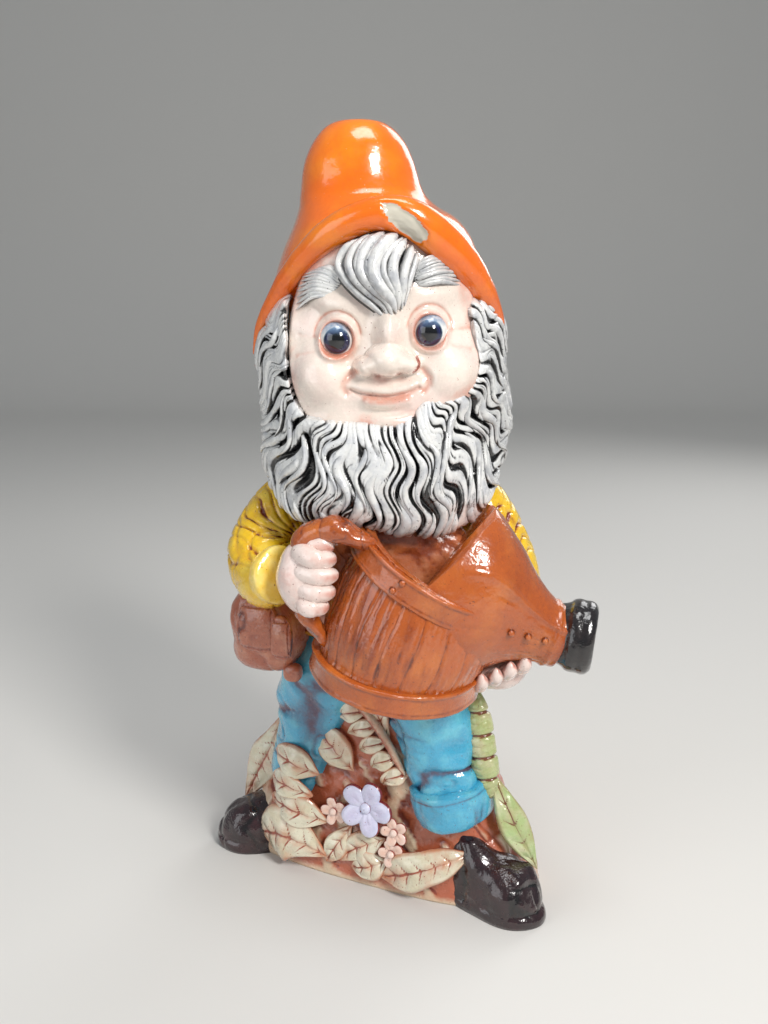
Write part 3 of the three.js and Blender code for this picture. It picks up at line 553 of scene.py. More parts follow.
def hill(x, z, x0, z0, wide, high, turn=0.0, square=1.0):
    """exp(-d^(2 square)) with d the elliptic distance from (x0, z0), turned by `turn`."""
    u = (x - x0) * np.cos(turn) + (z - z0) * np.sin(turn)
    v = (z - z0) * np.cos(turn) - (x - x0) * np.sin(turn)
    return np.exp(-((u / wide) ** 2 + (v / high) ** 2) ** square)


def step(v, low, high):
    """Smooth step from 0 at `low` to 1 at `high`."""
    t = held((v - low) / (high - low))
    return t * t * (3 - 2 * t)


def dome(x, z, x0, z0, wide, high):
    """A half ball seen from the front, sqrt(1 - d^2), with d the elliptic distance, let out softly at its
    foot."""
    d = np.hypot((x - x0) / wide, (z - z0) / high)
    return np.sqrt(held(1 - d**2)) * 0.75 + 0.25 * np.exp(-(d**2) * 1.2)


def stroke(x, z, points, width):
    """exp(-(distance to a drawn curve / width)^2), with the distance taken to 90 points along it."""
    line = spline(points, np.linspace(0, 1, 90))
    return peak(np.min(np.hypot(x[..., None] - line[:, 0], z[..., None] - line[:, 1]), axis=-1), width)


def read(table, key, columns, samples=600):
    """Smooth readings of a table's columns at a value of its first column."""
    t = np.array(table, float)
    fine = np.linspace(0, 1, samples)
    return [np.interp(key, spline(t[:, 0], fine), spline(t[:, k], fine)) for k in columns]


def face_bowl(x, z):
    """The shallow bowl that the face is raised on, and the share of the way out to its edge: the depth goes
    from FACE_DEPTH in the middle to the edge table's by the power 2.2 of that share, and drops away past the
    edge."""
    u, v = x - FACE_AXIS[0], z - FACE_AXIS[1]
    angle = (np.degrees(np.arctan2(v, u)) - 151) % 360 + 151
    edge, depth = read(FACE_EDGE, angle, (1, 2))
    share = np.hypot(u, v) / edge
    return FACE_DEPTH + (depth - FACE_DEPTH) * share**2.2 + 60 * held(share - 1.06), share


def nose(x, z):
    """A bulb and two nostril wings joined by the cube root of their summed cubes, then the bridge above; all
    cut off below by a slanting step."""
    masses = [15.0 * dome(x, z, 1.6, 293.8, 11.0, 8.2), 10.5 * dome(x, z, -8.8, 290.8, 5.8, 5.0),
              10.5 * dome(x, z, 11.8, 292.0, 5.6, 5.0), 8.0 * hill(x, z, 2, 305, 6, 10)]
    joined = sum(part**3 for part in masses) ** (1 / 3) + 2.4 * hill(x, z, 3, 316, 6, 8)
    return joined * (0.06 + 0.94 * step(z - 0.12 * x, 284.0, 287.0))


def sockets(x, z):
    """Raising of the two eye sockets, the stain on their rims and the crow's feet beside them: d is 1 on the
    rim, the lid is a crease outside its upper half, and two strokes go outwards from each corner."""
    lift, rims, crow = 0, 0, 0
    for x0, z0, wide, high in ((-22.1, 303.4, 7.3, 7.7), (21.7, 306.8, 7.1, 7.6)):
        d = np.hypot((x - x0) / wide, (z - z0) / high)
        lift += 3.2 * peak(d - 1.16, 0.2) * (1 + 0.3 * step(z, z0, z0 + 6)) - 6.5 * step(1.02 - d, 0, 0.3)
        lid = peak(np.hypot((x - x0) / wide, (z - z0 - 1.2) / high) - 1.52, 0.09) * step(z, z0 - 1, z0 + 4)
        lift -= 0.9 * lid
        rims = rims + peak(d - 1.0, 0.17) + 0.75 * lid + 0.3 * peak(d - 1.25, 0.3)
        m = np.sign(x0)
        for dz, drop in ((0.8, 0.2), (-6.4, -0.6)):
            line = [(x0 + 10.5 * m, z0 + dz), (x0 + 14.5 * m, z0 + dz + drop),
                    (x0 + 19.0 * m, z0 + dz * 1.1 + 2 * drop)]
            crow = crow + 0.7 * stroke(x, z, line, 1.25)
    return lift, held(rims), held(crow)


SMILE = [(-15.4, 279.6), (-9.0, 277.7), (1.4, 276.9), (10, 278.2), (16.2, 281.0)]
UPPER_LIP = [(-11, 280.9), (-5, 280.4), (1.3, 279.6), (7, 280.8), (12.5, 282.0)]
LOWER_LIP = [(-8, 274.2), (1, 273.2), (10.5, 275.0)]
SMILE_FOLDS = ([(-13.5, 288.5), (-17.0, 285.2), (-18.6, 281.2), (-17.6, 278.0)],
               [(17.6, 289.5), (20.4, 285.8), (20.6, 282.0), (19, 279.4)])


def head(rows=210, cols=300):
    """A squared-off ball, brought forward to the face's bowl in front. Hills raise the cheeks, muzzle, chin
    and brow; strokes raise the lips and cut the mouth, smile folds, nostrils and a crescent beside the nose.
    The rows and columns are crowded towards the face."""
    t = ((np.arange(rows) + 0.5) / rows)[:, None]
    t = t + 0.1 * np.sin(2 * pi * t)
    b = np.linspace(-1, 1, cols, endpoint=False)[None]
    a = pi * (0.42 * b + 0.58 * b**3) - pi / 2
    r = np.sin(pi * t) ** 0.85
    grid = at(48 * r * bend(np.cos(a), 0.8), 50 * r * bend(np.sin(a), 0.8), 60 * np.cos(pi * t)) + HEAD
    x, z = grid[..., 0].copy(), grid[..., 2]
    front = step(-grid[..., 1], 2, 26)
    bowl, share = face_bowl(x, z)
    lift = np.maximum(0, grid[..., 1] - bowl) * (grid[..., 1] < 0) + nose(x, z)
    lift += 9.4 * hill(x, z, -30.5, 286.0, 14, 13.5, square=1.5)
    lift += 9.6 * hill(x, z, 31.5, 288.5, 14, 13.5, square=1.5)
    lift += 4.5 * hill(x, z, 1.2, 279, 17, 8.5, 0.04, 1.3) - 1.2 * hill(x, z, 1.6, 284.2, 2.0, 2.6)
    lift += 1.6 * stroke(x, z, UPPER_LIP, 2.3) + 2.4 * stroke(x, z, LOWER_LIP, 2.6)
    mouth = stroke(x, z, SMILE, 1.1)
    folds = np.minimum(sum(stroke(x, z, fold, 1.9) for fold in SMILE_FOLDS), 1)
    lift += 4.6 * hill(x, z, 2.4, 265.5, 11, 4.6) - 2.0 * hill(x, z, 1.6, 269.8, 10, 1.5)
    lift -= 3.4 * (hill(x, z, -17, 295, 6.5, 8, -0.3) + hill(x, z, 19.5, 298, 6.5, 8, 0.3))
    lift += 3.4 * (hill(x, z, -25, 320, 14, 6, -0.15) + hill(x, z, 25, 324, 14, 6, 0.1))
    hollow, rims, crow = sockets(x, z)
    nostril = hill(x, z, -2.4, 286.6, 1.8, 0.9) + hill(x, z, 7.0, 287.7, 1.8, 0.9)
    crescent = stroke(x, z, [(15.4, 295.0), (16.3, 291.6), (13.8, 288.2)], 0.8)
    lift += hollow - 2.4 * mouth - 1.9 * folds - 1.8 * nostril - 1.5 * crescent - 0.35 * crow
    lift += 0.35 * lumps(grid, 11, 61) + 0.12 * lumps(grid, 4, 62)
    grid[..., 1] -= lift * front
    grid[..., 0] += front * 2.0 * (hill(x, z, 32.5, 289, 10, 11) - hill(x, z, -31, 287, 10, 11))
    ink = held(0.85 * crescent + 0.5 * nostril + 0.34 * mouth * step(np.abs(x - 1), 17, 6)) * front
    lips = stroke(x, z, [(-9, 275.4), (1, 274.3), (11, 276.2)], 2.0) + 0.7 * stroke(x, z, SMILE, 1.8)
    # Along the face's edge, where it runs under the beard, the hair and the hat, the wash is both stain and
    # painted shade.
    hairline_stain_and_shade = step(share, 0.8, 1.02) * held(0.7 + 0.8 * lumps(grid, 8, 64), 0.1, 1.3)
    hat_edge_stain_and_shade = step(z, 332, 350) * step(share, 0.72, 0.95)
    wash = 0.75 * rims + 0.5 * folds + 0.42 * crow + 0.55 * lips + 0.5 * hairline_stain_and_shade + 0.3 * hat_edge_stain_and_shade + 0.5 * nostril
    # Painted shadow of the nose beside it on his right, away from the window, and painted shade along the nose's
    # underside.
    wash += 0.22 * hill(x, z, -16, 297, 5, 7) + 0.28 * hill(x, z, 2.6, 285.0, 12, 1.8)
    return grid, ink, held(wash + 0.12 * lumps(grid, 9, 63))


skin_glaze = make_glaze("glaze_face", (238, 224, 212), (238, 216, 206), (150, 62, 44), (214, 140, 116),
                        mottle=16, gloss=0.1, dimple=0.15, ink_at=0.4, pinholes=0.86)
cast("head_glazed", [head()], skin_glaze)

# ---- eyes ----
# Round clay eyeballs set into the sockets. Painted by hand under the clear glaze: white rim, dark navy iris and
# black pupil. The iris is made paler at the top as a painted reflection.
IRIS_RADIUS = 7.2


def make_eye_glaze(name, x0, z0):
    """Rings worked out from each spot's distance to the eye's middle on Object coordinates: black pupil,
    navy iris, a thin grey-blue line and then white; pale streaks of fine noise over the iris's upper
    part, a painted reflection of the light."""
    glaze, tree, place = new_material(name)
    centre = add(tree, "Mapping", {"Vector": place, "Location": (-x0 / IRIS_RADIUS, 0, -z0 / IRIS_RADIUS),
                                   "Scale": (1000 / IRIS_RADIUS, 0, 1000 / IRIS_RADIUS)}).outputs[0]
    reach = add(tree, "VectorMath", {0: centre}, operation="LENGTH").outputs["Value"]
    rings = add(tree, "ValToRGB", {0: reach})
    stops = [(0.0, (3, 4, 8)), (0.48, (5, 6, 14)), (0.56, (22, 28, 64)), (0.72, (28, 34, 78)),
             (0.80, (12, 16, 40)), (0.86, (110, 130, 150)), (0.90, (236, 234, 230))]
    while len(rings.color_ramp.elements) < len(stops):
        rings.color_ramp.elements.new(0.5)
    for element, (share, colour) in zip(rings.color_ramp.elements, stops):
        element.position, element.color = share, tone(*colour)
    height = add(tree, "SeparateXYZ", {0: centre}).outputs["Z"]
    # The iris's upper part is lightened in streaks: a painted reflection of the light above.
    upper = add(tree, "MapRange", {0: height, 1: 0.34, 2: 0.85, 3: 0.0, 4: 1.4}).outputs[0]
    streaks = add(tree, "TexNoise", {"Vector": place, "Scale": 420}).outputs["Fac"]
    broken = add(tree, "Math", {0: upper, 1: streaks}, operation="MULTIPLY", use_clamp=True).outputs[0]
    pale = add(tree, "Mix", {0: broken, 6: rings.outputs[0], 7: tone(112, 140, 172)}, data_type="RGBA")
    shader = add(tree, "BsdfPrincipled", {"Base Color": pale.outputs[2], "Roughness": 0.12, "Coat Weight": 1.0,
                                          "Coat Roughness": 0.03})
    add(tree, "OutputMaterial", {"Surface": shader.outputs[0]})
    return glaze


def globe(rows, cols, square=1.0):
    """Unit ball on a grid with its poles up and down, squared off by `square` below one."""
    t, a = sheet(rows, cols)
    r = np.sin(pi * t) ** square
    return at(r * bend(np.cos(a), square), r * bend(np.sin(a), square), bend(np.cos(pi * t), square))


def eyeball(centre, radius=8.8):
    """A ball bulged at the iris by exp(-(sine of the angle from the front)^2 / 0.3)."""
    n = globe(60, 80)
    bulge = 0.07 * np.exp(-(n[..., 0] ** 2 + n[..., 2] ** 2) / 0.3) * (n[..., 1] < 0)
    return np.array(centre) + n * (radius * (1 + bulge))[..., None], 0, 0


for side, place, iris in (("right", (-22.2, -46.6, 303.4), (-22.2, 302.6)),
                          ("left", (21.7, -46.6, 306.8), (21.2, 306.2))):
    cast(f"eye_{side}_glazed", [eyeball(place)], make_eye_glaze(f"glaze_eye_{side}", *iris))

# ---- beard ----
# Deep wavy locks modelled in the clay, white glaze on their crests and black rubbed into the grooves
# between.
hair_glaze = make_glaze("glaze_hair", (232, 232, 230), (200, 202, 206), (13, 12, 14), (98, 100, 106),
                        mottle=7, gloss=0.12, dimple=0.3, ink_at=0.36)


def ropes(spine, normal, width, height, seed, cols=10, base_ink=0.62):
    """Tapered locks: spine points (locks, rows, 3) with skin normals, half-width and half-height along each.
    Across a lock the height is sin(a) with a combed ripple, cos(3a), on its upper side, leaning a little one
    way or the other."""
    side = unit(np.cross(unit(np.gradient(spine, axis=1)), normal))
    up = np.cross(side, unit(np.gradient(spine, axis=1)))
    a = (2 * pi * (np.arange(cols) + 0.25) / cols)
    lean, darker = (hash3(np.stack([np.arange(len(spine))] * 3, -1), seed + k)[:, None, None] for k in (0, 1))
    comb = 1 + 0.1 * np.cos(3 * a + 1.2) * (np.sin(a) > 0)
    across = width[..., None] * np.cos(a) * comb
    rise = height[..., None] * (np.sin(a) * comb + 0.35 * lean * np.cos(a))
    grid = spine[:, :, None] + across[..., None] * side[:, :, None] + rise[..., None] * up[:, :, None]
    ink = held(base_ink - 0.9 * np.sin(a)) + 0.22 * darker
    # One flank of every lock takes the grey wash, as painted shade on that side.
    return grid, ink, held(0.25 + 0.25 * np.cos(a))


BEARD_INNER = [  # angle about the axis, reach, depth
    (151, 50, -30), (155.7, 52.8, -34), (164.5, 50.9, -36), (175.6, 48.6, -38), (194.8, 49.4, -40),
    (210.7, 50.5, -44), (220.5, 49.5, -48), (230.6, 43, -54), (251.6, 35.4, -57), (274.8, 33.8, -57.5),
    (291.1, 32.6, -57), (303, 30.3, -56.5), (311, 31.0, -56), (323.1, 38.8, -52), (336.3, 44.6, -47),
    (349.8, 45.7, -42), (365, 43.6, -38), (380.4, 44.5, -36), (391, 46, -33)]
BEARD_OUTER = [
    (151, 60, -6), (164, 64, -6), (183.1, 67.3, -8), (196.3, 68.1, -10), (212.3, 76, -12),
    (221.6, 85.5, -15), (229.5, 92.5, -22), (236.8, 96.9, -32), (241.8, 95.8, -40), (249, 91.9, -47),
    (259.6, 87, -52), (271.9, 89, -53), (281.3, 93, -53), (290.8, 94.6, -50), (300.7, 94.1, -42),
    (308.4, 90.6, -28), (317.5, 84, -16), (328, 76.5, -12), (338.7, 68.4, -10), (352, 62.6, -8),
    (368.6, 62.6, -5), (380, 62, -5), (391, 56, -5)]
STRAIGHT_DOWN = 270


def beard_skin(angle, around):
    """Section of the beard at an angle about the face's axis: an ellipse from the inner edge (around = pi)
    over the front (pi/2) to the outer edge (0) and back underneath; the depth leans from the inner edge to
    the outer."""
    inner, near = read(BEARD_INNER, angle, (1, 2))
    outer, far = read(BEARD_OUTER, angle, (1, 2))
    outer = outer - 2.2
    near = near - 3.5 * (1 - np.exp(-(((angle - STRAIGHT_DOWN) / 62) ** 4)))
    low = peak(angle - STRAIGHT_DOWN, 50)
    r = (inner + outer) / 2 + (outer - inner) / 2 * bend(np.cos(around), 0.85)
    swell = np.where(np.sin(around) > 0, (5.0 + 5.5 * low) * bend(np.maximum(np.sin(around), 0), 0.8),
                     (26 - 6 * low) * np.minimum(np.sin(around), 0))
    y = near + (far - near) * (1 + np.cos(around)) / 2 - swell
    turn = np.radians(angle)
    return at(FACE_AXIS[0] + r * np.cos(turn), y, FACE_AXIS[1] + r * np.sin(turn))


def combed(grid, wave=32, spread=11.7):
    """Distances across and along the fall of the hair, in mm, with the weave's shift and slope at each spot.
    The hair falls along the parabolas whose focus is the face's axis: with r the reach and c the cosine from
    straight down, across = spread sqrt(r (1 - c)), along = spread sqrt(r (1 + c)) + depth. The weave adds a
    sine of the distance along, one wave to `wave` mm, whose start drifts over the beard."""
    x, down = grid[..., 0] - FACE_AXIS[0], FACE_AXIS[1] - grid[..., 2]
    r = np.hypot(x, down)
    across = spread * np.sign(x) * np.sqrt(np.maximum(r - down, 0))
    along = spread * np.sqrt(np.maximum(r + down, 0)) + 0.7 * (grid[..., 1] + 55)
    phase = 2 * pi * along / wave + 2.4 * lumps(at(across, along * 0.4, 0), 22, 85)
    swing = 2.7 * step(along, 20, 100)
    return across, along, swing * np.sin(phase), -swing * 2 * pi / wave * np.cos(phase)


def beard_base(rows=620, cols=144):
    """The tube run round the face from temple to temple, cut by grooves exp(-(sin(pi f) / width)^2). For the
    locks f is the distance across over 6.4 mm plus noise stretched along the hair, which makes them swell,
    split and join; noise also lets a groove start and stop. Strands are cut the same way every 2.8 mm.
    Everything dies away to shallow strands beside the face. Most of the columns lie on the front."""
    angle = np.linspace(152, 390, rows)[:, None]
    around = (pi - 2 * pi * np.interp((np.arange(cols) + 0.5) / cols, [0, 0.78, 1], [0, 0.53, 1]))[None]
    grid = beard_skin(angle + 0 * around, around + 0 * angle)
    spine = grid.mean(1, keepdims=True)
    grid = spine + (grid - spine) * np.sqrt(held(np.minimum(angle - 151, 391 - angle) / 6, 0.02))[..., None]
    across, along, shift, _ = combed(grid)
    lane = across - shift

    def furrow(width, cut, share, seed):
        p = at(lane, along * 0.2, 0)
        f = lane / width + 1.35 * lumps(p, 1.5 * width, seed) + 0.25 * lumps(p, 0.7 * width, seed + 1)
        return held(share + 0.9 * lumps(p, 1.2 * width, seed + 2), 0.1) * peak(np.sin(pi * f), cut)

    deep = step(around, pi + 0.1, 1.9) * (0.75 + 0.25 * step(grid[..., 2], 300, 270)) + 0.28
    groove = furrow(6.4, 0.44, 0.8, 71)
    comb = furrow(2.8, 0.45, 0.35, 75)
    grid = pressed(grid, deep * (1.4 - 3.2 * groove) - (0.2 + 0.4 * deep) * comb + 0.8 * lumps(grid, 12, 73))
    # The underside of the beard is darkened with a little ink as painted shade.
    under = step(around, 0.1, -0.5) * step(around, -2.9, -2.3)
    dark = 0.3 * step(grid[..., 2], 250, 212) * held(0.6 + lumps(grid, 14, 76), 0, 1.4)
    ink = 1.3 * groove * (0.3 + 0.75 * deep) + dark + 0.5 * comb * deep + 0.2 * under
    return grid, held(ink), held(0.1 + 0.4 * groove + 0.4 * comb + 0.3 * lumps(grid, 12, 74))


def run_locks(angle, around, length, seed, width, height, lift, rows=30):
    """Locks combed over the beard: each starts at an angle and a place around the section and steps along
    the skin the way the hair falls there, turned from side to side by the weave, so that it lies with the
    ridges beneath. Width and height rise from the root, hold, and run out to a point; the tip lifts a
    little."""
    spine, normal = np.zeros((2, len(angle), rows, 3))
    pace = length / (rows - 1)
    for k in range(rows):
        here = beard_skin(angle, around)
        along_angle = beard_skin(angle + 0.5, around) - beard_skin(angle - 0.5, around)
        along_section = beard_skin(angle, around + 0.02) - beard_skin(angle, around - 0.02)
        n = unit(np.cross(along_angle, along_section))
        n *= np.where(np.sum(n * (here - beard_skin(angle, around + pi)), -1) < 0, -1, 1)[:, None]
        spine[:, k], normal[:, k] = here, n
        turn = np.radians(angle)
        radial = np.stack([np.cos(turn), np.sin(turn)], -1)
        flow = unit(radial + np.array([0, -1.0]))
        flow = flow - combed(here)[3][:, None] * np.stack([-flow[:, 1], flow[:, 0]], -1)
        reach = np.linalg.norm(here[:, [0, 2]] - FACE_AXIS, axis=-1)
        turning = np.sum(flow * np.stack([-np.sin(turn), np.cos(turn)], -1), -1) / np.maximum(reach, 20)
        outwards = np.sum(flow * radial, -1) / (np.linalg.norm(along_section, axis=-1) / 0.04 + 1e-6)
        angle = held(angle + np.degrees(turning) * pace, 152.5, 389.5)
        around = around - outwards * pace
    s = np.linspace(0, 1, rows)[None]
    wide = width[:, None] * held(s / 0.35, 0.03) ** 0.7 * held(1 - s**2.2, 0.02) ** 0.8
    high = height[:, None] * held(s / 0.3, 0.1) ** 0.8 * held(1 - s**3, 0.05) ** 0.6
    raised = (lift[:, None] + 1.6 * s**2) * held(s * 4) - 0.9 * (1 - s)
    return ropes(spine + normal * raised[..., None], normal, wide, high, seed, base_ink=0.8)


def beard_locks():
    """Three scattered tiers of longer locks over the ridges, each starting further from the face."""
    draw = np.random.default_rng(7)
    tiers = []
    for around, count, length, lift, width, seed in (
            (0.75, 58, 24, 0.2, 2.9, 84), (1.45, 34, 32, 0.4, 3.0, 83), (2.2, 24, 34, 0.6, 2.7, 82)):
        angles = np.linspace(164, 378, count) + draw.uniform(-2.4, 2.4, count)
        starts = around + draw.uniform(-0.3, 0.3, count)
        size = draw.uniform(0.7, 1.35, count)
        tiers.append(run_locks(angles, starts, length * draw.uniform(0.7, 1.25, count), seed,
                               width * size, 2.4 * size**0.5, lift + draw.uniform(-0.5, 0.6, count)))
    return tiers


cast("beard_glazed", [beard_base()], hair_glaze)
cast("beard_locks_glazed", beard_locks(), hair_glaze, node="")

# ---- forelock, eyebrows and back hair ----
# Thinner locks of the same clay and glaze: a lock that falls over the brow in an S, two brows of short
# tufts, and a thick mass behind that hangs from under the hat.


def head_front(x, z, out):
    """The face's bowl at (x, z), stood off by `out`, for hair that lies on it."""
    return at(x, face_bowl(np.asarray(x, float), np.asarray(z, float))[0] - out, z)


def laid_locks(paths, widths, heights, seed, rows, pointed=2.4, base_ink=0.62, cols=10):
    """Locks along given smooth paths; their skin normal leans away from the middle of the head."""
    s = np.linspace(0, 1, rows)
    spine = np.stack([curve(p, s) for p in paths])
    normal = unit(spine - (HEAD + [0, 8, -6]))
    body = np.sqrt(held(s / 0.14, 0.06)) * held(1 - s**pointed, 0.03) ** 0.75
    wide, high = (np.asarray(v, float)[:, None] for v in (widths, heights))
    return ropes(spine, normal, wide * body, high * held(body, 0.08), seed, cols, base_ink)


FORELOCK = [  # half-width, then points (x, z, stand-off) from the parting down to the tip
    (2.4, [(-12, 349, 3), (-18.5, 343.5, 4), (-21, 337, 4.5), (-18, 331, 5), (-12, 324.6, 5), (-5, 318.6, 4.5),
           (1, 313, 3)]),
    (2.8, [(-7, 351, 4), (-13.5, 344, 7), (-15.8, 337.7, 8), (-13.5, 331, 8.5), (-7.5, 325, 7.5),
           (-1, 319.5, 6), (2.5, 313.2, 4)]),
    (3.2, [(0, 352, 5), (-7.5, 345, 9), (-10.4, 338, 10.5), (-9.5, 332, 10.5), (-4.2, 326, 9.5),
           (1.5, 320.6, 8), (4, 313.6, 5)]),
    (4.0, [(6, 351, 5), (-0.9, 344.5, 9.5), (-4.2, 338, 12), (-4, 332, 12), (-0.8, 326.6, 11), (3.4, 321.6, 9),
           (6, 315.5, 6)]),
    (3.3, [(10, 349, 4), (5.6, 343, 8), (3.6, 337.5, 10.5), (3.8, 332, 10.5), (5.2, 327, 9), (6.0, 322.5, 8),
           (6.8, 317, 5)]),
    (2.8, [(13, 346, 3), (11, 340, 6), (9.2, 334.5, 8), (8.6, 330, 8), (8.6, 326, 7), (8, 321.5, 5.5),
           (8.4, 317, 4)]),
    (2.0, [(15.5, 343, 2), (14.2, 338, 3.5), (12.6, 333, 4.5), (11.4, 329, 5), (10.4, 325, 4.5),
           (9.8, 321.5, 3.5), (9.6, 318.5, 3)]),
    (2.0, [(-5, 351, 7), (-9, 346, 10), (-11.5, 341, 11), (-12.2, 336, 11), (-9.8, 331, 10.5),
           (-5.5, 327, 9.5), (-1, 323.5, 8)]),
    (1.8, [(3, 351, 8), (-2.2, 346, 11.5), (-6.6, 340, 13), (-7.2, 335, 13), (-4.6, 330, 12.5),
           (-0.6, 325.6, 11), (3, 320.4, 8.5)]),
    (1.7, [(8.5, 349.5, 7), (3.2, 344, 11), (0.2, 339, 13), (-0.2, 334, 13), (1.8, 329, 12), (4.4, 324.6, 10),
           (6.4, 319.6, 7.5)]),
]


def forelock(bedded=7):
    """Ten locks that leave the parting, sweep to his right and then back in an S to one point between the
    brows, over a dark bed of flatter locks under the first seven."""
    paths = [head_front(*(np.array(line) * [1, 1, 0.62] + [0, 0, 1.2]).T) for _, line in FORELOCK]
    bed = [head_front(*(np.array(line) * [0.92, 1, 0.3] - [0.3, 1, 0]).T) for _, line in FORELOCK[:bedded]]
    wide = np.array([half for half, _ in FORELOCK])
    return [laid_locks(paths, wide, 0.85 * wide + 0.6, 91, 64, pointed=5, cols=14),
            laid_locks(bed, [4.0] * bedded, [2.6] * bedded, 92, 40, base_ink=1.0)]


def eyebrow(roots, tips, rise, seed, count):
    """A wing of overlapping tufts that spring side by side from the brow's inner end and run outwards along
    it, each bowed up by `rise` and ending in a point."""
    s = np.linspace(0, 1, count)
    draw = np.random.default_rng(seed)
    paths = []
    for root, tip in zip(spline(roots, s), spline(tips, s)):
        (x0, x1, x2), (z0, z1, z2) = np.stack([root, (root + tip) / 2 + [0, rise], tip], -1)
        paths.append(head_front([x0, x1, x2], [z0, z1, z2], [0.8, 2.8 + draw.uniform(0, 0.8), 0.9]))
    widths, heights = draw.uniform(1.2, 1.8, count), draw.uniform(1.3, 1.8, count)
    return [laid_locks(paths, widths, heights, seed, 26, base_ink=0.42)]


cast("forelock_glazed", forelock(), hair_glaze)
cast("eyebrow_right_glazed", eyebrow([(-18, 332), (-20, 329), (-22.5, 326), (-25.5, 323)],
                                     [(-31, 336), (-38.5, 333), (-42, 326), (-42.5, 316.5)], 2.6, 95, 11),
     hair_glaze)
cast("eyebrow_left_glazed", eyebrow([(13.5, 336), (13, 333), (14, 330), (16, 327.5)],
                                    [(28, 341), (34, 338.5), (37.5, 333.5), (37, 328)], 1.8, 96, 9),
     hair_glaze)


def back_skin(angle, fall):
    """The mass of hair behind: an upright squashed ball, angle from his right side (pi) round the back
    (pi/2) to his left (0), fall from 0 at the crown to 1 at the nape."""
    t = 0.06 + 0.88 * np.asarray(fall)
    r = np.sin(pi * t) ** 0.7 * (1 + 0.12 * np.cos(pi * t))
    return at(53 * r * np.cos(angle), 20 + 37 * r * np.sin(angle), 259 + 46 * np.cos(pi * t))


def back_hair():
    """The ball itself, dark, with three tiers of locks that fall down it and weave by sin of their
    length."""
    t, a = sheet(90, 150)
    parts = [(back_skin(a, (t - 0.06) / 0.88), 0.9, 0.5)]
    draw = np.random.default_rng(17)
    count = 46
    s = np.linspace(0, 1, 30)[None]
    for start, length, out in ((0.62, 0.42, 0.2), (0.38, 0.45, 0.7), (0.08, 0.46, 1.2)):
        angle = np.linspace(-0.55, pi + 0.55, count)[:, None] + draw.uniform(-0.02, 0.02, (count, 1))
        fall = start + draw.uniform(-0.03, 0.03, (count, 1)) + length * draw.uniform(0.8, 1.15, (count, 1)) * s
        phase = draw.uniform(0, 2, (count, 1)) + 3 * angle
        spine = back_skin(angle + 0.075 * np.sin(2 * pi * 1.5 * s + phase), np.minimum(fall, 1.0))
        normal = unit(spine - np.array([0, 12, 259]))
        size = draw.uniform(0.8, 1.2, (count, 1))
        body = np.sqrt(held(s / 0.15, 0.05)) * held(1 - s**2.6, 0.02) ** 0.75
        spine = spine + normal * (out + s**2)[..., None]
        parts.append(ropes(spine, normal, 2.6 * size * body, 2.1 * size * held(body, 0.1), 146))
    return parts


cast("back_hair_glazed", back_hair(), hair_glaze)

# ---- hat ----
# A tall soft cap cast in one with the head: hood over the ears, thick rolled brim, crown cut flat on top
# where the casting was poured. Thick orange glaze, chipped to the pale clay at the front of the brim.
HAT_TOP = 409
BROW_LINE = 357
HAT_EDGES = [  # height, then the cap's edge to his right, to his left, in front and behind
    (409, -21, -4, 0, 18), (407.6, -26, 1.5, -5, 23), (404, -31.2, 6.6, -9.5, 28), (398, -36, 11.4, -14, 32),
    (391, -39.4, 14.6, -16.5, 34), (385, -41, 16.6, -18, 35.5), (378, -42, 18.6, -20, 37),
    (372, -42.8, 21.8, -23, 39), (367, -43.4, 28, -29, 41), (362, -45, 35.8, -36, 43.5),
    (357, -47, 41, -42, 46), (351, -49.8, 45.2, -45.5, 48.8), (345, -52.6, 48, -47.5, 51.5),
    (336, -55.8, 52.4, -48.5, 55), (328, -58.4, 55.6, -48, 57.5), (312, -63.6, 60.6, -46, 61),
    (300, -67.2, 63.2, -44, 63.5), (290, -68.4, 64.4, -42.5, 65), (280, -69, 65, -41, 65.5)]


def hat_ring(a, z, inset=0.0):
    """A ring point at height z: half ellipses between the four edges of the table, drawn in by `inset`."""
    right, left, before, behind = read(HAT_EDGES[::-1], z, (1, 2, 3, 4), samples=900)
    middle = 9
    reach = np.where(np.cos(a) > 0, middle - before, behind - middle) - inset
    return at((right + left) / 2 + ((left - right) / 2 - inset) * np.sin(a), middle - reach * np.cos(a), z)


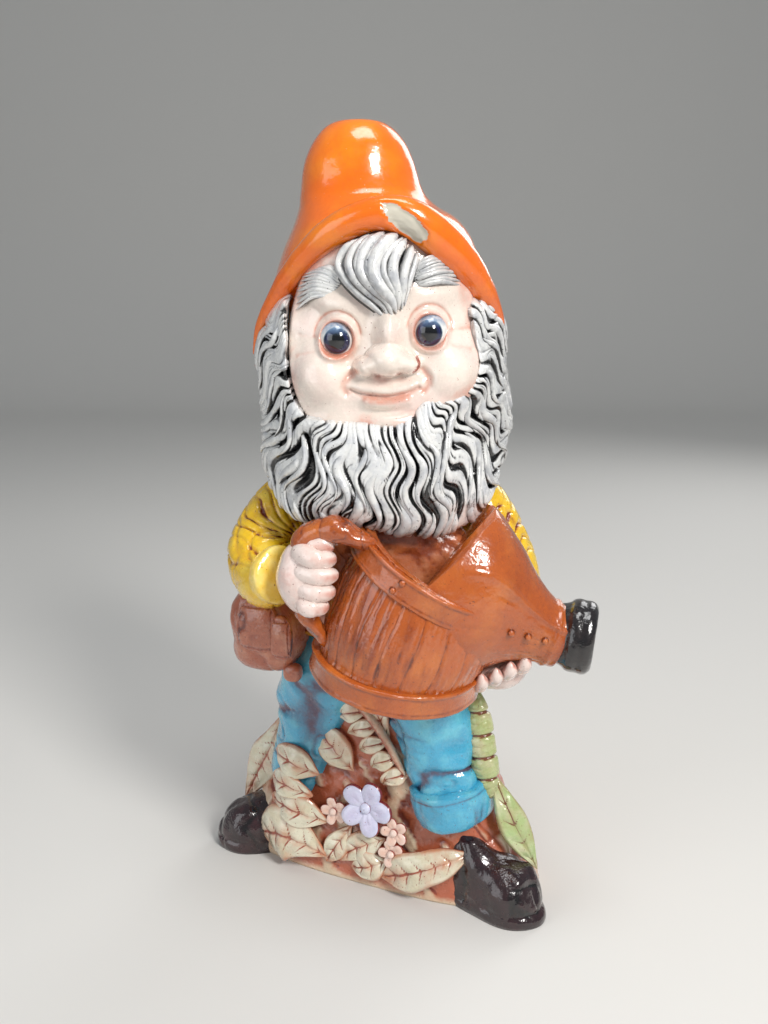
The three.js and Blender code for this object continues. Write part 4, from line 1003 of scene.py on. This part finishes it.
def hat(rows=240, cols=260, crown_end=0.46, hem_at=0.85):
    """Outside from the pour cut down the domed crown and the flaring hood, round the hem and up inside it.
    The hem is high over the brow, low over the ears, and higher on his left."""
    t, a = sheet(rows, cols)
    hem = 292 + 65 * np.maximum(0, np.cos(a)) - 6 * np.maximum(0, -np.cos(a)) + 6.8 * np.sin(a)
    top = t / 0.06
    crown = spline([row[0] for row in HAT_EDGES[:11]], held((t - 0.06) / 0.4))
    skirt = BROW_LINE + (hem - BROW_LINE) * held((t - crown_end) / 0.39)
    under = 306 + (hem - 306) * np.sqrt(held((1 - t) / 0.15))
    z = np.where(t < crown_end, crown, np.where(t < hem_at, skirt, under))
    grid = hat_ring(a, z, np.where(t > hem_at, 3.6 * step(t, hem_at, 0.87), 0))
    lid = hat_ring(a, HAT_TOP + 0 * a)
    centre = lid.mean(1, keepdims=True)
    flat = centre + (lid - centre) * held(top)[..., None]
    flat[..., 2] -= 0.9 * step(1 - top, 0, 0.25)
    grid = np.where((top < 1)[..., None], flat, grid)
    inner = grid.mean(1, keepdims=True)
    grid = np.where((t > 0.94)[..., None], inner + (grid - inner) * held((1 - t) / 0.06, 0.02)[..., None], grid)
    x, h = grid[..., 0], grid[..., 2]
    tuck = peak(h - 0.2 * x - 362, 4.0) * step(x, -14, 10) * held(np.cos(a) + 0.2)
    pull = peak(h - 352 + 0.75 * np.abs(x + 6), 3.4) * step(-x, 12, 26) * held(np.cos(a))
    rise = 0.8 * lumps(grid, 34, 121) + 0.2 * lumps(grid, 12, 122) - 1.3 * tuck - 0.9 * pull
    grid = pressed(grid, rise * (t <= hem_at) * step(top, 1.0, 2.2))
    rim = step(np.abs(top - 1.02), 0.13, 0.03) + 0.8 * step(0.9 - top, 0, 0.1) * (lumps(grid, 5, 123) > -0.3)
    # The wash darkens the orange in the tuck and pull creases and, more and more, down the hood below the brow:
    # painted shade.
    return grid, held(0.95 * rim), held(0.1 + 0.4 * tuck + 0.3 * pull + 0.2 * step(355 - h, 0, 60), 0, 0.8)


BRIM_PATH = [
    (-68, -3, 293), (-61.5, -12, 309.5), (-48, -26, 330), (-32, -39, 346.5), (-16.5, -46, 356),
    (-1, -49, 360.5), (15, -47, 357), (30, -39.5, 345.5), (45.5, -26, 329), (57, -12, 313.5), (63, -3, 303)]
BRIM_ROLL = [2.5, 4.4, 5.2, 6.0, 7.0, 8.0, 9.2, 9.4, 8.0, 5.6, 2.5]
CHIP_PLACE = (9.6, 356.0)


def brim(rows=290, cols=78):
    """A limb along the brow from ear to ear. At the chip its surface is struck back to bare clay inside an
    uneven slanting oval, whose edge is sharp and pale."""
    grid, _, _, _ = limb(BRIM_PATH, BRIM_ROLL, rows, cols, thick=1.05, face=(0, -1, 0.25))
    n = outward(grid)
    grid = grid + n * (0.7 * lumps(grid, 24, 131) + 0.25 * lumps(grid, 9, 132))[..., None]
    u, v = grid[..., 0] - CHIP_PLACE[0], grid[..., 2] - CHIP_PLACE[1]
    oval = np.hypot((0.78 * u - 0.626 * v) / 12.8, (0.626 * u + 0.78 * v) / 4.6)
    oval = oval + 0.16 * lumps(grid, 5, 133) + 0.1 * lumps(grid, 2, 134)
    chip = step(oval, 1.06, 0.92) * (grid[..., 1] < -38)
    depth = chip * (1.5 + 0.35 * lumps(grid, 1.6, 135) + 0.4 * lumps(grid, 4, 136))
    grid = grid - n * depth[..., None]
    return grid, chip, held(0.16 + 0.22 * lumps(grid, 18, 137), 0, 0.6)


hat_glaze = make_glaze("glaze_hat", (242, 112, 6), (248, 134, 14), (226, 214, 194), (184, 58, 2),
                       mottle=26, gloss=0.05, dimple=0.08, pinholes=0.9)
brim_glaze = make_glaze("glaze_brim", (242, 112, 6), (248, 134, 14), (208, 202, 186), (196, 66, 4),
                        mottle=26, gloss=0.05, dimple=0.08, pinholes=0.9)
cast("hat_glazed", [hat()], hat_glaze)
cast("hat_brim_glazed", [brim()], brim_glaze)

# ---- watering can ----
# A staved tub with two broad hoops and their rivets, a half hood that runs down into the spout, a rose at
# its end and a flat handle above. One with the belly in the casting; brown-orange glaze, darker in the grain.
# The inside of the tub and spout, and the tub's side away from the window, are darkened as painted shade.
CAN_RADIUS = 41
CAN_LONG = 42
CAN_LEAN_BACK = 0.14
STAVES = 20


def can_ring(s, r, a, lift=0.0):
    """A point of the tub: the ring at share s is turned about its middle, more towards the top."""
    p = turned(at(r * np.cos(a), 0.95 * r * np.sin(a), lift), CAN_LEAN_BACK, 0)
    return turned(p, 0.2 + 0.3 * s, 1) + at(8.5 + 15.5 * s, -50, 146 + CAN_LONG * s)


def can_reach(s):
    """The tub's radius: a slight belly, sin(pi s), narrowing upwards."""
    return CAN_RADIUS * (1 + 0.07 * np.sin(pi * held(s)) - 0.02 * s)


def can_body(rows=190, cols=380):
    """Outside wall with staves: a groove where STAVES a / 2 pi is whole, wandering grain between; over the
    rim and down inside to a plain floor. The outside takes the rows up to a share of 0.62, the rim up to
    0.66."""
    t, a = sheet(rows, cols)
    outer = t <= 0.62
    s = np.where(outer, -0.28 + 1.42 * held((t - 0.08) / 0.54), 1.14 - 1.26 * held((t - 0.66) / 0.28))
    shell = np.sqrt(np.where(outer, held(t / 0.08), held((1 - t) / 0.06)))
    side = (t > 0.08) * (t < 0.62)
    stave = STAVES * a / (2 * pi) + 0.06 * np.sin(5 * s + 3 * a)
    seam = peak((stave + 0.5) % 1.0 - 0.5, 0.045)
    lattice = at(a * CAN_RADIUS, 0.14 * CAN_LONG * s, 0)
    grain = lumps(lattice, 2.0, 141) + 0.7 * lumps(lattice, 1.0, 142)
    gouge = peak(lumps(lattice * [0.8, 0.6, 1], 2.0, 143), 0.12)
    gouge = gouge * step(lumps(lattice * 0.3, 2.0, 144), -0.1, 0.5)
    pock = lumps(at(a * 40, CAN_LONG * s, 3), 11, 145)
    depth = 1.15 * (0.75 * seam + 0.3 * gouge - 0.3 * grain) - 0.7 * pock
    grid = can_ring(s, shell * (can_reach(s) - 5 * step(t, 0.62, 0.66)) - side * depth, a)
    inside = step(t, 0.62, 0.68)
    ink = held(side * (0.34 * seam + 0.26 * gouge + 0.16 * step(grain, 0.3, 1.2)), 0, 0.85) * (1 - inside)
    # Painted shade: the wash darkens the tub on the side away from the window, where cos a runs to -1, and all
    # over the inside; grain and pocks add real stain.
    grain_and_painted_shade = 0.14 + 0.3 * grain + 0.3 * pock + 0.25 * step(np.cos(a), 0.1, -0.9)
    return grid, ink, held(side * grain_and_painted_shade + 0.85 * inside)


def back_wall(rows=90, cols=140):
    """The tub's far wall where it is luted to the belly: an upright slab with a round front, 43 wide each
    way, dished along its foot and pressed with leaf-shaped marks, exp(-(noise / width)^2) of slanted
    noise."""
    t, a = sheet(rows, cols)
    end = np.sin(pi * t) ** 0.3
    x = 3 + 43 * end * bend(np.cos(a), 0.7)
    y = -34 + 12 * end * bend(np.sin(a), 0.8) - 6 * np.cos((x - 3) / 43 * 1.2)
    grid = at(x, y, 216 - 74 * t + 0.16 * x)
    slant = turned(grid, 0.7, 1) * [1.3, 0.6, 0.5]
    mark = peak(lumps(slant, 7, 146), 0.14)
    lift = 0.7 * lumps(grid, 13, 147) + 0.3 * lumps(slant, 5, 148) - 0.6 * mark
    return pressed(grid, lift), 0.34 * mark, held(0.1 + 0.4 * mark + 0.4 * lumps(grid, 10, 149))


def hoop(s, proud, rows=320, cols=40):
    """A flat band round the tub, 12 mm wide, with a raised bead along each edge."""
    a = (2 * pi * np.arange(rows) / rows)[:, None]
    b = (2 * pi * np.arange(cols) / cols)[None]
    across = held(1.45 * np.sin(b), -1, 1)
    bead = peak(np.abs(across) - 0.84, 0.13) * (np.cos(b) > 0)
    r = can_reach(s) - 1 + (proud + 1) * held(1.6 * np.cos(b), -1, 1) + 0.75 * bead
    grid = can_ring(s, r, a, 6.2 * across)
    wear = lumps(grid, 9, 151)
    line = peak(np.abs(across) - 0.62, 0.1) * (np.cos(b) > 0) + (np.cos(b) < 0.05)
    return pressed(grid, 0.35 * wear, True), held(0.34 * line), held(0.1 + 0.3 * line + 0.35 * wear, 0, 0.7)


def rivet(centre, size, deep):
    """A domed stud with a ring of stain at its foot."""
    t, a = sheet(18, 26)
    p = at(size * np.sin(pi * t) * np.cos(a), -deep * np.cos(pi * t), size * np.sin(pi * t) * np.sin(a))
    return p + centre, held(1.2 - 1.4 * np.cos(pi * t), 0, 0.9), 0.1


can_glaze = make_glaze("glaze_can", (180, 88, 32), (196, 106, 42), (104, 42, 16), (140, 60, 24),
                       mottle=16, gloss=0.08, dimple=0.25, ink_at=0.3)
wall_glaze = make_glaze("glaze_can_wall", (186, 104, 60), (204, 136, 98), (120, 50, 24), (150, 72, 40),
                        mottle=9, gloss=0.12, dimple=0.25, ink_at=0.3)
cast("can_body_glazed", [can_body()], can_glaze)
cast("can_back_wall", [back_wall()], wall_glaze, node="")
cast("can_lower_hoop_glazed", [hoop(-0.15, 2.0)], can_glaze, closed_rows=True)
cast("can_upper_hoop_glazed", [hoop(1.0, 2.4)], can_glaze, closed_rows=True)
for i, lift in enumerate((2.9, -2.9)):
    spot = can_ring(1.0, can_reach(1.0) + 1.9, radians(-113 - 3 * i), lift)
    cast(f"hoop_rivet_{i + 1}_glazed", [rivet(spot, 1.9, 2.2)], can_glaze)

SPOUT = [
    (4, -49, 182), (26, -50, 181), (46, -52, 179), (57, -54.5, 174.5), (68, -57, 168), (82, -60, 160.5),
    (88, -61, 158.5)]
SPOUT_TALL = [44, 45, 46, 46, 46, 45, 39, 32, 25, 20, 17, 16]
SPOUT_DEEP = [38, 38, 38, 38, 37, 35, 31, 26, 22, 19, 16.5, 15.5]
SPOUT_LEAN = [0.1, 0.1, 0.12, 0.2, 0.26, 0.3, 0.3]
MOUTH_POINT = np.array([24.0, -50.0, 196.0])
MOUTH_SLOPE = 0.86


def spout_point(s, a, inset=0.0):
    """The spout's section at share s along its middle line, an upright ellipse that leans with it."""
    lean = spline(SPOUT_LEAN, s)
    tall, deep = spline(SPOUT_TALL, s) - inset, spline(SPOUT_DEEP, s) - inset
    shares = np.linspace(0, 1, 400)
    middle = [np.interp(s, shares, line) for line in curve(SPOUT, shares).T]
    return at(*middle) + at(np.sin(lean) * tall * np.sin(a), -deep * np.cos(a), np.cos(lean) * tall * np.sin(a))


def hood(rows=180, cols=250):
    """The spout's wall as one skin: it starts at the slanting mouth, where every line along the spout is cut
    by the mouth's plane, runs down to the rose end, and comes back inside, five millimetres in, to the
    mouth. It is pressed with grain and has a soft ridge along its upper side and a collar near its end."""
    t, a = sheet(rows, cols)
    probe = spout_point(np.linspace(0, 1, 200)[:, None], a)
    ahead = (probe - MOUTH_POINT) @ np.array([np.cos(MOUTH_SLOPE), 0, -np.sin(MOUTH_SLOPE)])
    start = np.argmax(ahead + 0.64 * np.sin(probe[..., 1] * 0.33 + 1.0) > 0, axis=0)[None] / 199.0
    along = np.where(t < 0.55, t / 0.55, np.where(t < 0.6, 1, (1 - t) / 0.4))
    s = held(start + (0.985 - start) * held(along))
    grid = spout_point(s, a, 4.6 * step(t, 0.55, 0.6) * np.sqrt(held(along / 0.03)))
    outside = step(t, 0.56, 0.53)
    grain = peak(lumps(at(a * 26, 5 * s, 0), 2.4, 161), 0.15) * step(lumps(grid, 14, 162), -0.1, 0.4)
    ridge = peak(np.minimum((a - 0.42) % (2 * pi), (0.42 - a) % (2 * pi)), 0.07) * step(s, 0.25, 0.4)
    collar = peak(s - 0.93, 0.014)
    grid = pressed(grid, outside * (0.7 * lumps(grid, 18, 163) + 1.2 * ridge - 0.35 * grain + 0.9 * collar))
    # The inside of the spout takes the wash as painted shade.
    return grid, outside * 0.22 * grain, held(0.2 + 0.25 * lumps(grid, 16, 165) + 0.75 * (1 - outside))


def handle(rows=220, cols=60):
    """A limb over the fist with a scalloped upper edge: its section grows and shrinks by sin of its
    length."""
    grid, s, a, _ = limb([(-2, -66, 204), (-20, -66, 213.5), (-35, -62, 212), (-42, -60, 198), (-42, -59, 182),
                          (-36, -60, 166), (-26, -60, 153)], [5, 6.4, 6.2, 5, 5, 5, 4.5], rows, cols, thick=1.3)
    n = outward(grid)
    grid = grid + n * (0.8 * np.sin(34 * s) * held(np.cos(a) + 0.3) + 0.5 * lumps(grid, 6, 171))[..., None]
    bark = peak(lumps(grid * [1, 1, 0.5], 4, 172), 0.16)
    grid = grid - n * (0.4 * bark)[..., None]
    return grid, 0.36 * bark, 0.25 + 0.3 * bark + 0.3 * lumps(grid, 9, 173)


cast("can_hood_and_spout", [hood()], can_glaze, node="can_spout")
for i in range(3):
    stud = rivet((60.5 + 8.4 * i, -79.3 + 1.6 * i, 167 - 2.6 * i), 1.9, 2.6)
    cast(f"spout_rivet_{i + 1}_glazed", [stud], can_glaze)
cast("can_handle_glazed", [handle()], can_glaze)

ROSE_LONG, ROSE_RADIUS = 24, 17.8
ROSE_PROFILE = [
    (0.0, 0.0), (0.0, 0.62), (0.0, 0.80), (0.06, 0.86), (0.16, 0.82), (0.30, 0.84), (0.42, 0.90),
    (0.50, 0.99), (0.60, 1.03), (0.72, 1.02), (0.84, 1.03), (0.93, 0.98), (0.99, 0.86), (0.98, 0.72),
    (0.95, 0.4), (0.95, 0.0)]


def rose(rows=150, cols=160):
    """A turned knob: neck, flange and a dished face with a raised rim, its profile spun about the spout's
    line."""
    t, a = sheet(rows, cols)
    profile = curve([(x * ROSE_LONG, r * ROSE_RADIUS, 0) for x, r in ROSE_PROFILE], t[:, 0])
    x, r = profile[:, :1], np.maximum(profile[:, 1:2], 0.05)
    p = at(x - ROSE_LONG / 2, r * np.cos(a), r * np.sin(a))
    p = turned(turned(p, -0.22, 2), 0.12, 1) + np.array([92, -61.5, 159.5])
    return pressed(p, 0.45 * lumps(p, 7, 181)), 0.0, 0.2


rose_glaze = make_glaze("glaze_rose", (20, 18, 20), (34, 28, 28), (6, 5, 6), (40, 22, 18),
                        mottle=9, gloss=0.05, dimple=0.3)
cast("can_rose_glazed", [rose()], rose_glaze)

# ---- hands ----
# His right fist is closed round the handle with four plump fingers; his left hand comes up under the spout's
# root. The same pale skin glaze, with red-brown left between the fingers.


def plump(points, radii, seed, creases):
    """A finger: a limb with a soft dent at each knuckle, stained at its sides where it meets its
    neighbours."""
    grid, s, a, _ = limb(points, radii, 60, 44, face=(0, 0, 1), blunt=3.2)
    dent = sum(peak(s - knuckle, 0.035) for knuckle in creases)
    grid = pressed(grid, 0.25 * lumps(grid, 6, seed) - 0.45 * dent)
    between = held(np.abs(np.cos(a)) * 6 - 5) * step(s, 0.45, 0.8)
    tip = step(s, 0.9, 1.0)
    return grid, held(0.3 * between ** 3 + 0.1 * tip, 0, 0.6), held(0.05 + 0.6 * between + 0.2 * tip, 0, 0.9)


def ball(centre, radii, seed):
    """A squashed ball with soft lumps."""
    n = globe(90, 110)
    grid = np.array(centre) + n * np.array(radii)
    return grid + n * (0.6 * lumps(grid, 9, seed))[..., None], 0.0, held(0.2 + 0.2 * lumps(grid, 8, seed + 1))


def fist():
    """The back of the hand is a ball; four fingers come round it one above another, and the thumb lies on
    top."""
    parts = [ball((-39.5, -60.5, 189.5), (13, 14.2, 18.5), 201)]
    fingers = ((201.8, -43, -26), (193.6, -44, -25), (185.4, -44, -26.5), (177.8, -43, -30))
    for i, (z, root, tip) in enumerate(fingers):
        finger = [(root, -61, z + 0.8), (root + 5, -69.5, z + 0.9), (tip - 6, -74.4, z),
                  (tip - 0.5, -71.5, z - 0.6), (tip + 0.5, -65, z - 0.8)]
        parts.append(plump(finger, [5.2, 5.6, 5.0, 4.6, 3.6], 203 + i, (0.66,)))
    parts.append(plump([(-38, -62, 203), (-31, -67, 207.5), (-24, -67, 205)], [4.6, 4.8, 3.8], 209, (0.55,)))
    return parts


def open_hand():
    """A palm under the spout with the four fingertips that show along its lower edge."""
    parts = [ball((57.5, -46.5, 135.5), (16, 13.5, 9.5), 211)]
    for i in range(4):
        x, z = 46.5 + 7 * i, 130.5 + 3.2 * i
        finger = [(x, -46, z + 1), (x + 1, -58, z + 1.5), (x + 2, -66.5, z + 6), (x + 1.5, -68.5, z + 11)]
        parts.append(plump(finger, [4.3, 4.5, 4.1, 3.2], 213 + i, (0.4, 0.7)))
    return parts


hand_glaze = make_glaze("glaze_hand", (240, 222, 214), (236, 208, 198), (120, 44, 34), (206, 134, 116),
                        mottle=10, gloss=0.1, dimple=0.22, ink_at=0.4)
cast("hand_right_glazed", fist(), hand_glaze)
cast("hand_left_glazed", open_hand(), hand_glaze)

# ---- jacket ----
# A loose coat over the belly with full sleeves, whose folds fan out from the elbows, and a rolled cuff at
# each wrist. Warm yellow glaze over red-brown slip that stays in the bottoms of the folds.


def sleeve(points, face, elbow, seed, rows=160, cols=130):
    """A limb cut by folds: valleys that fan out from the elbow's inner side, about four to a radian, warped
    by noise, deep near the elbow and dying away up and down the arm; and slashes of stretched noise."""
    radii = np.array([0.95, 1.02, 1.06, 1.0, 0.88]) * 19
    grid, _, _, _ = limb(points, radii, rows, cols, face=face)
    dx, _, dz = np.moveaxis(grid - elbow, -1, 0)
    reach = np.linalg.norm(grid - elbow, axis=-1)
    phase = np.arctan2(dz, -dx) * 4.2 + 0.6 * lumps(grid, 13, seed) + reach * 0.012
    near = peak(reach - 20, 27) * held(0.75 + 0.9 * lumps(grid, 13, seed + 1), 0, 1.1)
    valley = peak(phase % 1.0 - 0.5, 0.1) * near
    slash = peak(lumps(grid * [1, 1, 0.5], 9, seed + 2), 0.12) * held(0.6 + lumps(grid, 15, seed + 3))
    grid = pressed(grid, 1.7 * lumps(grid, 18, seed + 4) - 2.6 * valley - 1.3 * slash)
    return grid, held(0.8 * valley + 0.5 * slash, 0, 0.95), held(0.1 + 0.5 * valley + 0.3 * slash, 0, 0.8)


def cuff(points, radii):
    """A short fat limb whose open end is dished, with a rolled lip, a crease behind it and fine nicks round
    it."""
    grid, s, _, _ = limb(points, radii, 90, 130, face=(0, 0, 1), blunt=9)
    groove = peak(s - 0.5, 0.04) + peak(s - 0.25, 0.04) + peak(s - 0.04, 0.05)
    groove = groove * held(0.75 + 0.6 * lumps(grid, 9, 222), 0.2, 1.2)
    grid = pressed(grid, 0.6 * lumps(grid, 9, 221) - 1.4 * groove - 1.6 * step(s, 0.55, 0.2))
    return grid, held(0.7 * groove), held(0.1 + 0.5 * groove)


def coat(rows=160, cols=210):
    """Squared-off rings from the collar down over the belly to the hem, with long soft folds running down
    and a seam pressed down the middle of the back."""
    t, a = sheet(rows, cols)
    end = held(np.minimum(t / 0.12, (1 - t) / 0.1)) ** 0.55
    wide = spline([22, 32, 41, 45, 47, 49, 50, 50, 49], t) * end
    deep = spline([18, 26, 31, 33, 35, 37, 38, 38, 37], t) * end
    grid = at(-2 + wide * bend(np.cos(a), 0.9), 5 + deep * bend(np.sin(a), 0.9), 252 - 122 * t)
    drawn = at(40 * np.cos(a), 40 * np.sin(a), 26 * t)
    fold = peak(lumps(drawn, 15, 251), 0.13) * held(0.5 + lumps(grid, 26, 252))
    seam = peak(np.cos(a), 0.03) * (np.sin(a) > 0) * step(t, 0.3, 0.4)
    hem = peak(t - 0.86, 0.012)
    lift = 1.4 * lumps(grid, 24, 253) + 0.5 * lumps(grid, 9, 254) - 2.0 * fold - 0.7 * seam - 1.0 * hem
    ink = held(0.72 * fold + 0.6 * seam + 0.6 * hem, 0, 0.9)
    return pressed(grid, lift), ink, held(0.12 + 0.5 * fold + 0.3 * hem, 0, 0.8)


jacket_glaze = make_glaze("glaze_jacket", (240, 194, 32), (246, 212, 74), (128, 44, 20), (206, 122, 26),
                          mottle=12, gloss=0.09, dimple=0.28)
cuff_glaze = make_glaze("glaze_cuff", (244, 206, 78), (248, 224, 130), (140, 56, 24), (214, 150, 40),
                        mottle=9, gloss=0.09, dimple=0.28)
right_arm = [(-40, 4, 222), (-54, 0, 207), (-64, -8, 188), (-61, -26, 181), (-52, -44, 185)]
left_arm = [(38, 4, 222), (53, 0, 206), (63, -4, 180), (66, -16, 156), (63, -34, 142)]
cast("sleeve_right_glazed", [sleeve(right_arm, (0, 0, 1), (-44, -10, 196), 231)], jacket_glaze)
cast("sleeve_left_glazed", [sleeve(left_arm, (1, 0, 0), (48, -18, 178), 241)], jacket_glaze)
cast("sleeve_cuff_right_glazed", [cuff([(-58.5, -40, 184), (-51, -49, 186.5)], [15.6, 14.6])], cuff_glaze)
cast("sleeve_cuff_left_glazed", [cuff([(65, -30, 144), (61, -38, 139)], [14.5, 15])], cuff_glaze)
cast("jacket_glazed", [coat()], jacket_glaze, node="jacket_body")

# ---- satchel ----
# A soft shoulder bag on his right hip, cast in one with the coat: a plump body, a long flap with a stitched
# edge, a pocket in front and the end of its tongue below; the strap goes up across the back. Reddish-tan
# glaze.


def bag(centre, half, square, seed, puff=0.0, stitched=0.0, dents=1.0, rows=100, cols=130):
    """A squared-off ball turned a fifth of a turn, swollen towards its foot, its edge pressed with a
    stitched furrow that runs where the face turns over, broken every 2.4 mm."""
    unturned = globe(rows, cols, square)
    x, y, z = np.moveaxis(unturned, -1, 0)
    belly = 1 + puff * (1 - z) * 0.5
    grid = turned(unturned * np.array(half) * at(belly, belly, 1), -0.35, 2) + np.array(centre)
    furrow = stitched * peak(np.maximum(np.abs(x), np.abs(z)) - 0.8, 0.06) * (y < -0.3)
    along = np.arctan2(z, x) * (half[0] + half[2]) / 2
    hole = furrow * peak(along / 2.4 % 1.0 - 0.5, 0.22)
    worn = peak(lumps(grid, 11, seed + 1), 0.12) * held(lumps(grid, 15, seed + 2) + 0.2)
    lift = dents * (1.2 * lumps(grid, 14, seed) + 0.5 * lumps(grid, 5, seed + 3) - 1.3 * worn)
    edge = peak(np.abs(y) - 0.15, 0.3) * (stitched > 0)
    ink = held(0.25 * furrow + 0.15 * hole + 0.6 * worn + 0.35 * edge, 0, 0.9)
    # The wash also darkens the bag towards its foot, as painted shade.
    wash = held(0.2 + held(-z * 0.25) + 0.4 * worn + 0.35 * furrow, 0, 0.8)
    return pressed(grid, lift - 0.45 * furrow - 0.35 * hole), ink, wash


def strap(rows=240, cols=40):
    """A flat limb with a stitched furrow near each edge."""
    path = [(-57, 8, 168), (-50, 26, 180), (-34, 40, 194), (-12, 43, 208), (12, 37, 222), (28, 24, 234)]
    grid, s, a, out = limb(path, [6.4, 6.2, 6, 6, 6.2, 6.4], rows, cols, thick=0.55, face=(-0.3, 1, 0.2))
    c = np.cos(a)
    furrow = peak(np.abs(c) - 0.7, 0.08) * (np.sin(a) > 0)
    hole = furrow * peak(s * 42 % 1.0 - 0.5, 0.22)
    grid = grid + out * (0.4 * lumps(grid, 8, 281) - 0.4 * furrow - 0.3 * hole)[..., None]
    return grid, held(0.5 * furrow + 0.4 * hole + 0.5 * (np.abs(c) > 0.96), 0, 0.9), 0.3


satchel_glaze = make_glaze("glaze_satchel", (180, 104, 76), (206, 140, 110), (104, 40, 26), (146, 68, 46),
                           mottle=9, gloss=0.14, dimple=0.35)
SATCHEL = {  # centre, half sizes and squareness of each padded piece, its seed, and how it is finished
    "body": ((-62, -10, 147), (19, 18.5, 23.5), 0.6, 261, {"puff": 0.06}),
    "flap": ((-67, -27.6, 152), (11.5, 4.6, 14.5), 0.8, 265, {"puff": 0.16, "stitched": 1.0, "dents": 0.7}),
    "pocket": ((-54, -32.4, 147), (6.2, 4.0, 12), 0.8, 271, {"puff": 0.1, "stitched": 1.0, "dents": 0.6}),
    "tongue": ((-49, -25.5, 125), (5, 4, 5), 0.75, 275, {"dents": 0.4, "rows": 60, "cols": 80}),
}
for name, (centre, half, square, seed, finish) in SATCHEL.items():
    cast(f"satchel_{name}_glazed", [bag(centre, half, square, seed, **finish)], satchel_glaze)
cast("satchel_strap_glazed", [strap()], satchel_glaze)

# ---- stand, light and camera ----
# A pale matt table top swept up behind the figure, a large soft window to the front right, a wide weak fill
# on the left and a strip behind. The camera stands a little above the face and looks down thirteen degrees.
LOOK_AT = Vector((0, 0, 0.2))


def sweep(rows=60, cols=4):
    """A flat floor, in metres, that runs back from the share 0 to 0.6, curves up to 0.8 and ends as a
    wall."""
    t = np.linspace(0, 1, rows)[:, None]
    curl = held((t - 0.6) / 0.2) * pi / 2
    y = np.where(t < 0.6, -2.5 + 4.5 * t / 0.6, 2.0 + 0.6 * np.sin(curl))
    z = 0.6 * (1 - np.cos(curl)) + 3 * held(t - 0.8) / 0.2
    grid = at(np.linspace(-3.5, 3.5, cols)[None], y, z)
    cell = np.arange(rows * cols).reshape(rows, cols)
    quads = np.stack([cell[:-1, :-1], cell[:-1, 1:], cell[1:, 1:], cell[1:, :-1]], -1).reshape(-1, 4)
    mesh = bpy.data.meshes.new("sweep")
    mesh.from_pydata(grid.reshape(-1, 3).tolist(), [], quads.tolist())
    mesh.polygons.foreach_set("use_smooth", [True] * len(mesh.polygons))
    return bpy.data.objects.new("sweep", mesh)


paper, tree, _ = new_material("pale_paper")
matt = add(tree, "BsdfPrincipled", {"Base Color": tone(222, 220, 216), "Roughness": 0.85})
add(tree, "OutputMaterial", {"Surface": matt.outputs[0]})
floor = sweep()
floor.data.materials.append(paper)
bpy.context.scene.collection.objects.link(floor)

LAMPS = {  # name: place, width, height, watts, colour
    "window": ((0.6, -0.9, 1.0), 0.3, 0.42, 14.5, (1.0, 0.98, 0.95)),
    "fill": ((-1.3, -0.9, 0.6), 1.0, 1.2, 6.5, (0.96, 0.98, 1.0)),
    "top": ((0.1, -0.2, 1.3), 0.5, 0.4, 4, (1.0, 1.0, 1.0)),
    "back_strip": ((0.7, 1.0, 0.9), 0.5, 0.9, 4, (1.0, 1.0, 1.0)),
}
for name, (place, width, height, watts, colour) in LAMPS.items():
    light = bpy.data.lights.new(name, "AREA")
    light.shape, light.size, light.size_y, light.energy, light.color = "RECTANGLE", width, height, watts, colour
    lamp = bpy.data.objects.new(name, light)
    lamp.location = place
    lamp.rotation_euler = (LOOK_AT - Vector(place)).to_track_quat("-Z", "Y").to_euler()
    bpy.context.scene.collection.objects.link(lamp)
world = bpy.data.worlds.new("room")
world.use_nodes = True
sky = world.node_tree.nodes["Background"].inputs
sky["Color"].default_value, sky["Strength"].default_value = (0.8, 0.85, 0.9, 1), 0.3
bpy.context.scene.world = world
view = bpy.data.cameras.new("camera")
view.lens, view.sensor_width = 35.16, 36
camera = bpy.data.objects.new("camera", view)
camera.location = (0, -0.53, 0.33)
camera.rotation_euler = (radians(77), 0, 0)
bpy.context.scene.collection.objects.link(camera)
bpy.context.scene.camera = camera
bpy.context.scene.view_settings.view_transform = "Standard"
